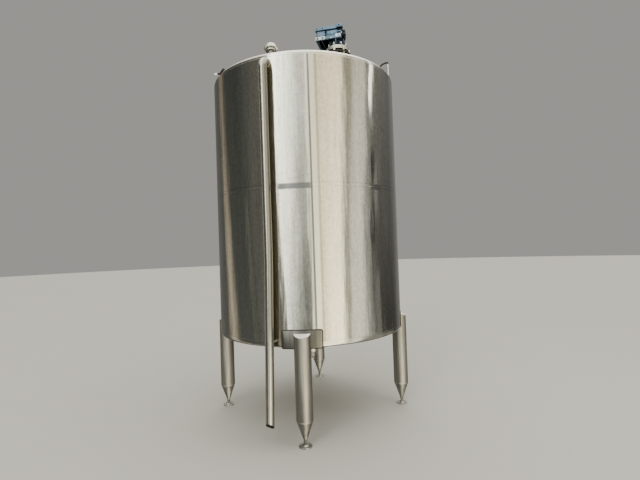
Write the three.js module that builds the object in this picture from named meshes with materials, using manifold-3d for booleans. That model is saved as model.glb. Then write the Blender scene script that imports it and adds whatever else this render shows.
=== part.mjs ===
// A vertical stainless storage tank on four tubular legs: a rolled shell in two courses between shallow
// conical heads, an overflow pipe down the outside, a bottom outlet, and a geared stirrer drive on top.
// Millimetres, +Z up. The origin is on the tank's axis at floor level, and -Y is the front.
// A bearing is an angle about the axis in degrees, 0 at the front and growing towards +X.

import * as THREE from 'three';
import { mergeVertices } from 'three/addons/utils/BufferGeometryUtils.js';
import Module from 'manifold-3d';

const wasm = await Module();
wasm.setup();

// The vessel. A head's tangent line is where its straight flange meets its rolled edge.
const SHELL_RADIUS = 900;
const SHEET = 4;
const ROOF_TANGENT = 3192;
const ROOF_FLANGE = 13;
const ROOF_SLOPE = 12;
const WELD_HEIGHT = 2102;
const BOTTOM_TANGENT = 815;
const BOTTOM_FLANGE = 25;
const BOTTOM_SLOPE = 8;
const KNUCKLE_RADIUS = 25;
const SEAM_BEARING = 4.3;
const PLATE_SIDES = ['right', 'back', 'left', 'front'];

// The legs, which end in a sloping cap against the doubling plate and a cone above the levelling foot.
const LEG_SIDES = ['front', 'right', 'back', 'left'];
const LEG_BEARING = -3.5;
const LEG_CIRCLE = 889;
const LEG_DIAMETER = 139.7;
const LEG_TOP = 906;
const LEG_CAP_SLOPE = 23;
const CONE_TOP = 210;
const CONE_TIP = 55;
const CONE_TIP_DIAMETER = 30;
const DOUBLER = { width: 324, top: 931, low: 791, sheet: 5 };
const FOOT = { diameter: 106, thickness: 20, edge: 9, chamfer: 3, collar: 16, spindle: 20 };

// The overflow pipe: upright below its elbow, then leaning a little, down to a mitred end.
const OVERFLOW_BEARING = -18;
const OVERFLOW_DIAMETER = 70;
const OVERFLOW_WALL = 2;
const OVERFLOW_CIRCLE = 970;
const OVERFLOW_ENTRY_HEIGHT = 3134;
const OVERFLOW_ENTRY_DEPTH = 20;
const OVERFLOW_LEAN_START = 1500;
const OVERFLOW_LEAN = 1.5;
const OVERFLOW_END_HEIGHT = 181;
const OVERFLOW_MITRE = 42;
const BRACKET = { height: 847, thickness: 8, left: -13, right: 11 };

// The stirrer drive. Its own -Y side is the gear case's front, and the motor stands out at the back.
const DRIVE = { x: 350, y: -282, turn: -13.7 };
const NOZZLE_DIAMETER = 168;
const NOZZLE_FLANGE_DIAMETER = 250;
const NOZZLE_FLANGE_TOP = 3449;
const NOZZLE_FLANGE_THICKNESS = 16;
const SEAL = { diameter: 174, thickness: 22 };
const DRIVE_FLANGE = { diameter: 212, thickness: 34 };
const GEAR_FOOT = { height: 75, base: 100, baseThickness: 12, neck: 60, taper: 12 };
const FOOT_RIBS = { count: 6, thickness: 10, from: 40, reach: 82 };
const GEAR_CASE = { left: -198, right: 58, front: -83, back: 97, height: 122 };
const CASE_STRIP = { depth: 10, height: 30, short: 12 };
const CORNER_LUG = { before: 50, after: 10, proud: 6, deep: 44, below: 38, above: 8 };
const FRONT_COVER = { radius: 28, proud: 8, left: 18 };
const END_COVER = { radius: 50, thickness: 18, bossRadius: 17, bossLength: 36, bossInset: 34 };
const MOTOR_INSET = 75;
const MOTOR = { radius: 75, length: 230, flangeRadius: 90, flange: 14, shoulder: 12 };
const COWL = { radius: 80, straight: 40, length: 56, endRadius: 63 };
const TERMINAL_BOX = { halfWidth: 52, from: 60, to: 160, sunk: 6, height: 56 };

// The other roof fittings.
const VENT = { bearing: -19.9, circle: 737, diameter: 63.5, ringHeight: 3316 };
const VENT_CLAMP = { reach: 16, below: 12, above: 5 };
const VENT_RIM = { reach: 8, thickness: 4, taper: 4 };
const VENT_CAP_PROFILE = [[7, 0.3], [7, 6], [28, 11], [29, 17], [19, 25], [10, 44], [-8, 58]];
const VENT_CAP_TOP = 64;
const LUG = { bearing: 66.5, bar: 16, edge: 8, depth: 72, height: 143, drop: 18, bend: 26 };
const HOOK = { bearing: -54, bar: 18, circle: 872, height: 61, bend: 14 };
const HOOK_ELBOW = [-120, -858];
const HOOK_TIP = [-156, -898];
const MANWAY = { x: -250, y: 360, diameter: 450, top: 3440, lidReach: 12, lidEdge: 12, lidDome: 42 };
const LID_CURVE = { shoulder: 0.95, shoulderRise: 4, crown: 0.6, crownRise: 0.8 };
const MANWAY_CLAMPS = { count: 4, firstTurn: 45, ringBelow: 50, ringHeight: 16, ringReach: 14 };
const CLAMP_ARM = { halfWidth: 14, reach: 34, above: 30 };
const CLAMP_TONGUE = { halfWidth: 10, inset: 6, reach: 20, low: 16 };
const CLAMP_KNOB = { radius: 16, reach: 14, low: 28, high: 62 };

// The bottom outlet: a neck, a closed butterfly valve with a lever, and a ferrule at the end.
const OUTLET = { diameter: 76, wall: 2, end: 480, valveLow: 540, neckLow: 590, intoHead: 12 };
const OUTLET_RIM = { reach: 12, thickness: 5, taper: 4 };
const VALVE = { reach: 16, stemRadius: 9, stemLength: 36 };
const LEVER = { start: 44, thickness: 12, halfHeight: 12, back: 12, length: 150 };

// The gap left at joints, and how finely round shapes are divided.
const GAP = 0.3;
const SHELL_SEGMENTS = 72;
const KNUCKLE_STEPS = 3;
const MANWAY_SEGMENTS = 36;
const ROUND_SEGMENTS = 32;
const PIPE_SEGMENTS = 20;
const SMALL_SEGMENTS = 12;
const BAR_SEGMENTS = 8;
const BAR_STEPS = 18;
const ELBOW_STEPS = 8;
const DOWNPIPE_STEPS = 14;
const DEEP = 400;

const STEEL = { color: 0xb9b7b1, roughness: 0.32, metalness: 1 };
const BRIGHT_STEEL = { color: 0xd2d0ca, roughness: 0.22, metalness: 1 };
const BLUE_PAINT = { color: 0x5c7f9c, roughness: 0.45, metalness: 0.1 };
const DARK_PLASTIC = { color: 0x24272b, roughness: 0.6, metalness: 0 };
const SEAL_RUBBER = { color: 0x1d1c1a, roughness: 0.8, metalness: 0 };

const rad = THREE.MathUtils.degToRad;
const tan = (degrees) => Math.tan(rad(degrees));

// The angle in the plan from +X, for a bearing.
const planAngle = (bearing) => rad(bearing - 90);

// Turns a geometry into a solid: shared corners merged, collapsed triangles dropped, faces outwards.
function toSolid(geometry) {
  const bare = geometry.clone();
  bare.deleteAttribute('normal');
  bare.deleteAttribute('uv');
  const merged = mergeVertices(bare, 1e-3);
  const vertProperties = Float32Array.from(merged.attributes.position.array);
  const corners = [];
  const source = merged.index.array;
  for (let i = 0; i < source.length; i += 3) {
    const [a, b, c] = [source[i], source[i + 1], source[i + 2]];
    if (a !== b && b !== c && c !== a) corners.push(a, b, c);
  }
  const solid = new wasm.Manifold(
    new wasm.Mesh({ numProp: 3, vertProperties, triVerts: Uint32Array.from(corners) }));
  if (solid.volume() > 0) return solid;
  return new wasm.Manifold(
    new wasm.Mesh({ numProp: 3, vertProperties, triVerts: Uint32Array.from(corners.reverse()) }));
}

function toGeometry(solid) {
  const mesh = solid.getMesh();
  const geometry = new THREE.BufferGeometry();
  geometry.setAttribute('position', new THREE.BufferAttribute(Float32Array.from(mesh.vertProperties), 3));
  geometry.setIndex(Array.from(mesh.triVerts));
  geometry.computeVertexNormals();
  return geometry;
}

const join = (...solids) => solids.reduce((whole, next) => whole.add(next));
const cut = (solid, ...tools) => tools.reduce((whole, tool) => whole.subtract(tool), solid);

// A body of revolution about Z from [radius, height] pairs.
function turned(profile, segments) {
  const points = profile.map(([radius, height]) => new THREE.Vector2(radius, height));
  return toSolid(new THREE.LatheGeometry(points, segments).rotateX(Math.PI / 2));
}

function rod(radius, low, high, segments = PIPE_SEGMENTS) {
  return turned([[0, low], [radius, low], [radius, high], [0, high]], segments);
}

function ring(inner, outer, low, high, segments = PIPE_SEGMENTS) {
  return turned([[inner, low], [outer, low], [outer, high], [inner, high], [inner, low]], segments);
}

function block(low, high) {
  const [a, b] = [new THREE.Vector3(...low), new THREE.Vector3(...high)];
  const size = b.clone().sub(a);
  const middle = a.clone().add(b).multiplyScalar(0.5);
  const box = new THREE.BoxGeometry(size.x, size.y, size.z);
  return toSolid(box.translate(middle.x, middle.y, middle.z));
}

// A flat outline pushed up from one height to another.
function prism(shape, low, high, curveSegments) {
  const geometry = new THREE.ExtrudeGeometry(
    shape, { depth: high - low, bevelEnabled: false, curveSegments });
  return toSolid(geometry.translate(0, 0, low));
}

// A round bar or pipe along a curve.
function swept(curve, steps, radius, boreRadius, segments) {
  const section = new THREE.Shape().absarc(0, 0, radius, 0, 2 * Math.PI);
  if (boreRadius > 0) section.holes.push(new THREE.Path().absarc(0, 0, boreRadius, 0, 2 * Math.PI));
  return toSolid(new THREE.ExtrudeGeometry(
    section, { steps, extrudePath: curve, bevelEnabled: false, curveSegments: segments / 2 }));
}

// A smooth bar through a few corners, each rounded to a bend.
function bentPath(corners, bend) {
  const path = new THREE.CurvePath();
  let from = corners[0];
  for (let i = 1; i < corners.length - 1; i += 1) {
    const before = corners[i - 1].clone().sub(corners[i]).setLength(bend).add(corners[i]);
    const after = corners[i + 1].clone().sub(corners[i]).setLength(bend).add(corners[i]);
    path.add(new THREE.LineCurve3(from, before));
    path.add(new THREE.QuadraticBezierCurve3(before, corners[i], after));
    from = after;
  }
  path.add(new THREE.LineCurve3(from, corners[corners.length - 1]));
  return path;
}

function piece(parent, name, solid, look) {
  const mesh = new THREE.Mesh(toGeometry(solid), new THREE.MeshStandardMaterial(look));
  mesh.name = name;
  parent.add(mesh);
  return mesh;
}

// A group that stands at a bearing, so that its own -Y points outwards from the axis.
function atBearing(parent, bearing) {
  const group = new THREE.Group();
  group.rotation.z = rad(bearing);
  parent.add(group);
  return group;
}

function atPlace(parent, x, y, turn = 0) {
  const group = new THREE.Group();
  group.position.set(x, y, 0);
  group.rotation.z = rad(turn);
  parent.add(group);
  return group;
}

// A curved plate of the shell wall between two bearings.
function curvedPlate(inner, outer, from, to, low, high, segments) {
  const shape = new THREE.Shape();
  shape.absarc(0, 0, outer, planAngle(from), planAngle(to), false);
  shape.absarc(0, 0, inner, planAngle(to), planAngle(from), true);
  return prism(shape, low, high, segments / 2);
}

// The outer line of a shallow cone with a rolled edge, from the edge to the axis, pointing up.
// Heights are counted from the tangent line. The inset moves the line inwards.
function headOutline(slope, inset) {
  const centre = SHELL_RADIUS - KNUCKLE_RADIUS;
  const radius = KNUCKLE_RADIUS - inset;
  const points = [];
  for (let i = 0; i <= KNUCKLE_STEPS; i += 1) {
    const angle = rad((90 - slope) * i / KNUCKLE_STEPS);
    points.push([centre + radius * Math.cos(angle), radius * Math.sin(angle)]);
  }
  const [edgeRadius, edgeHeight] = points[KNUCKLE_STEPS];
  points.push([0, edgeHeight + edgeRadius * tan(slope)]);
  return points;
}

function headProfile(slope, flange) {
  const outside = headOutline(slope, 0);
  const inside = headOutline(slope, SHEET).reverse();
  return [[SHELL_RADIUS, -flange], ...outside, ...inside, [SHELL_RADIUS - SHEET, -flange],
    [SHELL_RADIUS, -flange]];
}

// The edge of a pipe's end ferrule, from the pipe out to the face, which points up or down (1 or -1).
function ferruleRim(radius, face, rim, up) {
  const back = face - up * rim.thickness;
  return [[radius, back - up * rim.taper], [radius + rim.reach, back], [radius + rim.reach, face]];
}

const headRise = (slope) => headOutline(slope, 0)[KNUCKLE_STEPS + 1][1];
const ROOF_APEX = ROOF_TANGENT + headRise(ROOF_SLOPE);
const BOTTOM_APEX = BOTTOM_TANGENT - headRise(BOTTOM_SLOPE);
const BOTTOM_EDGE = BOTTOM_TANGENT - KNUCKLE_RADIUS;
const roofHeightAt = (radius) => ROOF_APEX - radius * tan(ROOF_SLOPE);

// How far a nozzle's wall goes down through the roof at the nozzle's outer side.
const THROUGH_ROOF = 15;
const nozzleLowAt = (x, y, radius) => roofHeightAt(Math.hypot(x, y) + radius) - THROUGH_ROOF;

const tank = new THREE.Group();

// The two heads, with a hole for each nozzle.
const nozzleHole = (radius, segments) => rod(radius + GAP, ROOF_TANGENT, ROOF_APEX, segments);
const manwayHole = nozzleHole(MANWAY.diameter / 2, MANWAY_SEGMENTS).translate([MANWAY.x, MANWAY.y, 0]);
const driveHole = nozzleHole(NOZZLE_DIAMETER / 2, ROUND_SEGMENTS)
  .rotate([0, 0, DRIVE.turn])
  .translate([DRIVE.x, DRIVE.y, 0]);
const ventPlace = new THREE.Vector2(0, -VENT.circle).rotateAround(new THREE.Vector2(), rad(VENT.bearing));
const ventHole = nozzleHole(VENT.diameter / 2, PIPE_SEGMENTS).translate([ventPlace.x, ventPlace.y, 0]);
const roof = turned(headProfile(ROOF_SLOPE, ROOF_FLANGE), SHELL_SEGMENTS)
  .translate([0, 0, ROOF_TANGENT + GAP / 2]);
piece(tank, 'roof', cut(roof, manwayHole, driveHole, ventHole), STEEL);

const outletHole = rod(OUTLET.diameter / 2 + GAP, BOTTOM_APEX - SHEET, BOTTOM_TANGENT);
const bottomHead = toSolid(
  toGeometry(turned(headProfile(BOTTOM_SLOPE, BOTTOM_FLANGE), SHELL_SEGMENTS)).rotateX(Math.PI))
  .translate([0, 0, BOTTOM_TANGENT - GAP / 2]);
piece(tank, 'bottom_head', cut(bottomHead, outletHole), STEEL);

// The shell plates, four to a course, butted at the upright seams.
const overflowHole = rod(OVERFLOW_DIAMETER / 2 + 2 * GAP, -DEEP, DEEP, 2 * PIPE_SEGMENTS)
  .rotate([90, 0, 0])
  .translate([0, -SHELL_RADIUS, OVERFLOW_ENTRY_HEIGHT])
  .rotate([0, 0, OVERFLOW_BEARING]);
const COURSES = [
  { name: 'lower', low: BOTTOM_TANGENT + BOTTOM_FLANGE, high: WELD_HEIGHT },
  { name: 'upper', low: WELD_HEIGHT, high: ROOF_TANGENT - ROOF_FLANGE },
];
const plateAngle = 360 / PLATE_SIDES.length;
const seamGap = THREE.MathUtils.radToDeg(GAP / SHELL_RADIUS);
for (const course of COURSES) {
  PLATE_SIDES.forEach((side, i) => {
    const from = SEAM_BEARING + plateAngle * i + seamGap / 2;
    let plate = curvedPlate(SHELL_RADIUS - SHEET, SHELL_RADIUS, from, from + plateAngle - seamGap,
      course.low + GAP / 2, course.high - GAP / 2, SHELL_SEGMENTS / PLATE_SIDES.length);
    if (course.name === 'upper' && side === 'front') plate = cut(plate, overflowHole);
    piece(tank, `shell_${course.name}_${side}`, plate, STEEL);
  });
}

// The legs with their doubling plates and levelling feet.
const doublerOuter = SHELL_RADIUS + GAP + DOUBLER.sheet;
const doublerHalfAngle = THREE.MathUtils.radToDeg(DOUBLER.width / 2 / doublerOuter);
const legRadius = LEG_DIAMETER / 2;
const underHead = BOTTOM_EDGE - 2 * GAP;
const insideVessel = turned([[0, BOTTOM_APEX - 2 * GAP], [SHELL_RADIUS - KNUCKLE_RADIUS, underHead],
  [doublerOuter + GAP, underHead], [doublerOuter + GAP, ROOF_TANGENT], [0, ROOF_TANGENT]],
SHELL_SEGMENTS * 2);
const aboveCap = block([-DEEP, -DEEP, 0], [DEEP, DEEP, DEEP])
  .rotate([LEG_CAP_SLOPE, 0, 0])
  .translate([0, -doublerOuter, LEG_TOP]);
const legProfile = [[0, CONE_TIP], [CONE_TIP_DIAMETER / 2, CONE_TIP], [legRadius, CONE_TOP],
  [legRadius, DOUBLER.top], [0, DOUBLER.top]];
const padRadius = FOOT.diameter / 2;
const footProfile = [[0, 0], [padRadius - FOOT.chamfer, 0], [padRadius, FOOT.chamfer],
  [padRadius - FOOT.chamfer, FOOT.edge], [padRadius / 2, FOOT.thickness - FOOT.chamfer],
  [FOOT.collar, FOOT.thickness], [FOOT.spindle / 2, FOOT.thickness + 2 * FOOT.chamfer],
  [FOOT.spindle / 2, CONE_TIP - GAP], [0, CONE_TIP - GAP]];
LEG_SIDES.forEach((side, i) => {
  const stand = atBearing(tank, LEG_BEARING + 360 / LEG_SIDES.length * i);
  piece(stand, `leg_doubler_${side}`, curvedPlate(SHELL_RADIUS + GAP, doublerOuter, -doublerHalfAngle,
    doublerHalfAngle, DOUBLER.low, DOUBLER.top, 8), STEEL);
  const tube = turned(legProfile, ROUND_SEGMENTS).translate([0, -LEG_CIRCLE, 0]);
  piece(stand, `leg_${side}`, cut(tube, insideVessel, aboveCap), STEEL);
  const foot = turned(footProfile, PIPE_SEGMENTS).translate([0, -LEG_CIRCLE, 0]);
  piece(stand, `foot_${side}`, foot, BRIGHT_STEEL);
});

// The overflow: a tight elbow through the shell, a straight pipe, and a flat bracket near its lower end.
const overflow = atBearing(tank, OVERFLOW_BEARING);
const bendRadius = OVERFLOW_CIRCLE - SHELL_RADIUS;
const downpipeTop = OVERFLOW_ENTRY_HEIGHT - bendRadius;
const pipeOuter = OVERFLOW_DIAMETER / 2;
const pipeBore = pipeOuter - OVERFLOW_WALL;

// A quarter circle from the top of the upright pipe round to the shell.
class QuarterBend extends THREE.Curve {
  getPoint(t, target = new THREE.Vector3()) {
    const angle = t * Math.PI / 2;
    return target.set(0, -SHELL_RADIUS - bendRadius * Math.cos(angle),
      downpipeTop + bendRadius * Math.sin(angle));
  }
}
const elbowPath = new THREE.CurvePath();
elbowPath.add(new QuarterBend());
elbowPath.add(new THREE.LineCurve3(new THREE.Vector3(0, -SHELL_RADIUS, OVERFLOW_ENTRY_HEIGHT),
  new THREE.Vector3(0, -SHELL_RADIUS + OVERFLOW_ENTRY_DEPTH, OVERFLOW_ENTRY_HEIGHT)));
const elbow = swept(elbowPath, ELBOW_STEPS, pipeOuter, pipeBore, PIPE_SEGMENTS);
piece(overflow, 'overflow_elbow', elbow, STEEL);

// The downpipe's middle line leans sideways below the lean's start.
const downpipePoint = (height) => new THREE.Vector3(
  -Math.max(0, OVERFLOW_LEAN_START - height) * tan(OVERFLOW_LEAN), -OVERFLOW_CIRCLE, height);
const downpipePath = bentPath(
  [downpipePoint(downpipeTop - GAP), downpipePoint(OVERFLOW_LEAN_START), downpipePoint(0)], DEEP / 4);
const belowMitre = block([-DEEP, -DEEP, -DEEP], [DEEP, DEEP, 0])
  .rotate([-OVERFLOW_MITRE, 0, 0])
  .translate([0, -OVERFLOW_CIRCLE, OVERFLOW_END_HEIGHT]);
const downpipe = swept(downpipePath, DOWNPIPE_STEPS, pipeOuter, pipeBore, PIPE_SEGMENTS);
piece(overflow, 'overflow_pipe', cut(downpipe, belowMitre), STEEL);

const pipeRoom = rod(pipeOuter + GAP, BRACKET.height - DEEP, BRACKET.height + DEEP, 2 * PIPE_SEGMENTS)
  .translate([downpipePoint(BRACKET.height).x, -OVERFLOW_CIRCLE, 0]);
const bracket = block([BRACKET.left, -OVERFLOW_CIRCLE, BRACKET.height - BRACKET.thickness / 2],
  [BRACKET.right, -SHELL_RADIUS - 2 * GAP, BRACKET.height + BRACKET.thickness / 2]);
piece(overflow, 'overflow_bracket', cut(bracket, pipeRoom), BRIGHT_STEEL);

// The stirrer drive: a flanged nozzle, a seal, a steel drive flange, then the gear unit and its motor.
const drive = atPlace(tank, DRIVE.x, DRIVE.y, DRIVE.turn);
const nozzleRadius = NOZZLE_DIAMETER / 2;
const flangeRadius = NOZZLE_FLANGE_DIAMETER / 2;
const nozzleLow = nozzleLowAt(DRIVE.x, DRIVE.y, nozzleRadius);
const nozzleFlangeLow = NOZZLE_FLANGE_TOP - NOZZLE_FLANGE_THICKNESS;
piece(drive, 'drive_nozzle', turned([[nozzleRadius - SHEET, nozzleLow], [nozzleRadius, nozzleLow],
  [nozzleRadius, nozzleFlangeLow], [flangeRadius, nozzleFlangeLow], [flangeRadius, NOZZLE_FLANGE_TOP],
  [nozzleRadius - SHEET, NOZZLE_FLANGE_TOP], [nozzleRadius - SHEET, nozzleLow]], ROUND_SEGMENTS), STEEL);
const sealLow = NOZZLE_FLANGE_TOP + GAP;
const sealTop = sealLow + SEAL.thickness;
const driveFlangeTop = sealTop + GAP + DRIVE_FLANGE.thickness;
piece(drive, 'drive_seal', rod(SEAL.diameter / 2, sealLow, sealTop, ROUND_SEGMENTS), SEAL_RUBBER);
const driveFlange = rod(DRIVE_FLANGE.diameter / 2, sealTop + GAP, driveFlangeTop, ROUND_SEGMENTS);
piece(drive, 'drive_flange', driveFlange, BRIGHT_STEEL);

const gearFootLow = driveFlangeTop + GAP;
const gearFootTop = gearFootLow + GEAR_FOOT.height;
const baseTop = gearFootLow + GEAR_FOOT.baseThickness;
let gearFoot = turned([[0, gearFootLow], [GEAR_FOOT.base, gearFootLow], [GEAR_FOOT.base, baseTop],
  [GEAR_FOOT.neck, baseTop + GEAR_FOOT.taper], [GEAR_FOOT.neck, gearFootTop], [0, gearFootTop]],
ROUND_SEGMENTS);
for (let i = 0; i < FOOT_RIBS.count; i += 1) {
  const rib = block([-FOOT_RIBS.thickness / 2, FOOT_RIBS.from, gearFootLow + 1],
    [FOOT_RIBS.thickness / 2, FOOT_RIBS.reach, gearFootTop]);
  gearFoot = join(gearFoot, rib.rotate([0, 0, i * 360 / FOOT_RIBS.count]));
}
piece(drive, 'gear_foot', gearFoot, BLUE_PAINT);

const caseLow = gearFootTop + GAP;
const caseTop = caseLow + GEAR_CASE.height;
const caseMiddle = (caseLow + caseTop) / 2;
const wormX = GEAR_CASE.left + MOTOR_INSET;
const caseCore = block([GEAR_CASE.left + CASE_STRIP.depth, GEAR_CASE.front + CASE_STRIP.depth, caseLow],
  [GEAR_CASE.right, GEAR_CASE.back, caseTop]);
const caseStrip = (low) => block([GEAR_CASE.left, GEAR_CASE.front, low],
  [GEAR_CASE.right - CASE_STRIP.short, GEAR_CASE.back, low + CASE_STRIP.height]);
const cornerLug = block(
  [GEAR_CASE.right - CORNER_LUG.before, GEAR_CASE.front - CORNER_LUG.proud, caseTop - CORNER_LUG.below],
  [GEAR_CASE.right + CORNER_LUG.after, GEAR_CASE.front + CORNER_LUG.deep, caseTop + CORNER_LUG.above]);
const frontCover = rod(FRONT_COVER.radius, -CASE_STRIP.depth, FRONT_COVER.proud, ROUND_SEGMENTS)
  .rotate([90, 0, 0])
  .translate([wormX - FRONT_COVER.left, GEAR_CASE.front + CASE_STRIP.depth, caseMiddle]);
const caseStrips = join(caseStrip(caseLow), caseStrip(caseTop - CASE_STRIP.height));
piece(drive, 'gear_case', join(caseCore, caseStrips, cornerLug, frontCover), BLUE_PAINT);

const onCaseEnd = (solid, y, z) => solid.rotate([0, 90, 0]).translate([GEAR_CASE.right + GAP, y, z]);
const endCover = onCaseEnd(rod(END_COVER.radius, 0, END_COVER.thickness, ROUND_SEGMENTS),
  (GEAR_CASE.front + GEAR_CASE.back) / 2, caseMiddle);
const endBoss = onCaseEnd(rod(END_COVER.bossRadius, 0, END_COVER.bossLength, SMALL_SEGMENTS),
  GEAR_CASE.front + END_COVER.bossInset, caseLow + END_COVER.bossInset);
piece(drive, 'gear_end_cover', join(endCover, endBoss), BLUE_PAINT);

const motorStart = GEAR_CASE.back + GAP;
const onMotorAxis = (solid) => solid.rotate([-90, 0, 0]).translate([wormX, motorStart, caseMiddle]);
const motorBody = turned([[0, 0], [MOTOR.flangeRadius, 0], [MOTOR.flangeRadius, MOTOR.flange],
  [MOTOR.radius, MOTOR.flange + MOTOR.shoulder], [MOTOR.radius, MOTOR.length], [0, MOTOR.length]],
ROUND_SEGMENTS);
piece(drive, 'motor', onMotorAxis(motorBody), BLUE_PAINT);
const cowlStart = MOTOR.length + GAP;
piece(drive, 'motor_fan_cowl', onMotorAxis(turned([[0, cowlStart], [COWL.radius, cowlStart],
  [COWL.radius, cowlStart + COWL.straight], [COWL.endRadius, cowlStart + COWL.length],
  [0, cowlStart + COWL.length]], ROUND_SEGMENTS)), BLUE_PAINT);
const boxLow = caseMiddle + MOTOR.radius - TERMINAL_BOX.sunk;
const terminalBox = block([wormX - TERMINAL_BOX.halfWidth, motorStart + TERMINAL_BOX.from, boxLow],
  [wormX + TERMINAL_BOX.halfWidth, motorStart + TERMINAL_BOX.to, boxLow + TERMINAL_BOX.height]);
const motorRoom = onMotorAxis(rod(MOTOR.radius + GAP, -GAP, MOTOR.length + GAP, ROUND_SEGMENTS));
piece(drive, 'motor_terminal_box', cut(terminalBox, motorRoom), DARK_PLASTIC);

// The vent near the front edge of the roof: a short pipe, a clamp and a domed cap.
const vent = atPlace(tank, ventPlace.x, ventPlace.y);
const ventRadius = VENT.diameter / 2;
const ventBore = ventRadius - OVERFLOW_WALL;
const ventLow = nozzleLowAt(ventPlace.x, ventPlace.y, ventRadius);
const ventPipe = turned([[ventBore, ventLow], [ventRadius, ventLow],
  ...ferruleRim(ventRadius, VENT.ringHeight, VENT_RIM, 1),
  [ventBore, VENT.ringHeight], [ventBore, ventLow]], PIPE_SEGMENTS);
piece(vent, 'vent_pipe', ventPipe, BRIGHT_STEEL);
piece(vent, 'vent_clamp', ring(ventRadius + VENT_RIM.reach + GAP, ventRadius + VENT_CLAMP.reach,
  VENT.ringHeight - VENT_CLAMP.below, VENT.ringHeight + VENT_CLAMP.above), BRIGHT_STEEL);
const capPoints = VENT_CAP_PROFILE.map(([reach, rise]) => [ventRadius + reach, VENT.ringHeight + rise]);
const ventCap = turned([[0, VENT.ringHeight + GAP], ...capPoints,
  [0, VENT.ringHeight + VENT_CAP_TOP]], PIPE_SEGMENTS);
piece(vent, 'vent_cap', ventCap, BRIGHT_STEEL);

// The lifting lug is a hoop of round bar across the rim, lower on its inner side. The hook is a bent bar.
const roofSkin = turned([[0, 0], [SHELL_RADIUS + GAP, 0],
  ...headOutline(ROOF_SLOPE, -GAP).map(([radius, height]) => [radius, ROOF_TANGENT + GAP + height])],
SHELL_SEGMENTS);
function barOnRoof(name, bearing, path, diameter) {
  const skin = toSolid(toGeometry(roofSkin).rotateZ(rad(-bearing)));
  const bar = swept(path, BAR_STEPS, diameter / 2, 0, BAR_SEGMENTS);
  piece(atBearing(tank, bearing), name, cut(bar, skin), BRIGHT_STEEL);
}
const lugOuter = SHELL_RADIUS - LUG.edge;
const lugInner = lugOuter - LUG.depth;
const lugPoint = (reach, height) => new THREE.Vector3(0, -reach, height);
const lugTop = ROOF_TANGENT + LUG.height;
barOnRoof('lifting_lug', LUG.bearing, bentPath([lugPoint(lugOuter, ROOF_TANGENT),
  lugPoint(lugOuter, lugTop), lugPoint(lugInner, lugTop - LUG.drop),
  lugPoint(lugInner, ROOF_TANGENT)], LUG.bend), LUG.bar);
const hookHeight = ROOF_TANGENT + HOOK.height;
barOnRoof('rim_hook', HOOK.bearing, bentPath([new THREE.Vector3(0, -HOOK.circle, ROOF_TANGENT),
  new THREE.Vector3(0, -HOOK.circle, hookHeight), new THREE.Vector3(...HOOK_ELBOW, hookHeight),
  new THREE.Vector3(...HOOK_TIP, hookHeight)], HOOK.bend), HOOK.bar);

// The round manway on the back half of the roof, with its lid clamped down.
const manway = atPlace(tank, MANWAY.x, MANWAY.y);
const neckRadius = MANWAY.diameter / 2;
const manwayLow = nozzleLowAt(MANWAY.x, MANWAY.y, neckRadius);
const manwayNeck = ring(neckRadius - SHEET, neckRadius, manwayLow, MANWAY.top, MANWAY_SEGMENTS);
piece(manway, 'manway_neck', manwayNeck, STEEL);
const lidLow = MANWAY.top + GAP;
const lidRadius = neckRadius + MANWAY.lidReach;
const lidEdgeTop = lidLow + MANWAY.lidEdge;
piece(manway, 'manway_lid', turned([[0, lidLow], [lidRadius, lidLow], [lidRadius, lidEdgeTop],
  [neckRadius * LID_CURVE.shoulder, lidEdgeTop + LID_CURVE.shoulderRise],
  [neckRadius * LID_CURVE.crown, lidLow + MANWAY.lidDome * LID_CURVE.crownRise],
  [0, lidLow + MANWAY.lidDome]], MANWAY_SEGMENTS), STEEL);
const ringLow = lidLow - MANWAY_CLAMPS.ringBelow;
let clampRing = ring(neckRadius + GAP, neckRadius + MANWAY_CLAMPS.ringReach, ringLow,
  ringLow + MANWAY_CLAMPS.ringHeight, MANWAY_SEGMENTS);
for (let i = 0; i < MANWAY_CLAMPS.count; i += 1) {
  const arm = block([-CLAMP_ARM.halfWidth, lidRadius + 2 * GAP, ringLow],
    [CLAMP_ARM.halfWidth, neckRadius + CLAMP_ARM.reach, lidLow + CLAMP_ARM.above]);
  const tongue = block(
    [-CLAMP_TONGUE.halfWidth, neckRadius - CLAMP_TONGUE.inset, lidLow + CLAMP_TONGUE.low + GAP],
    [CLAMP_TONGUE.halfWidth, neckRadius + CLAMP_TONGUE.reach, lidLow + CLAMP_ARM.above]);
  const knob = rod(CLAMP_KNOB.radius, lidLow + CLAMP_KNOB.low, lidLow + CLAMP_KNOB.high, SMALL_SEGMENTS)
    .translate([0, neckRadius + CLAMP_KNOB.reach, 0]);
  const turn = MANWAY_CLAMPS.firstTurn + i * 360 / MANWAY_CLAMPS.count;
  clampRing = join(clampRing, join(arm, tongue, knob).rotate([0, 0, turn]));
}
piece(manway, 'manway_clamps', clampRing, BRIGHT_STEEL);

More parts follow.
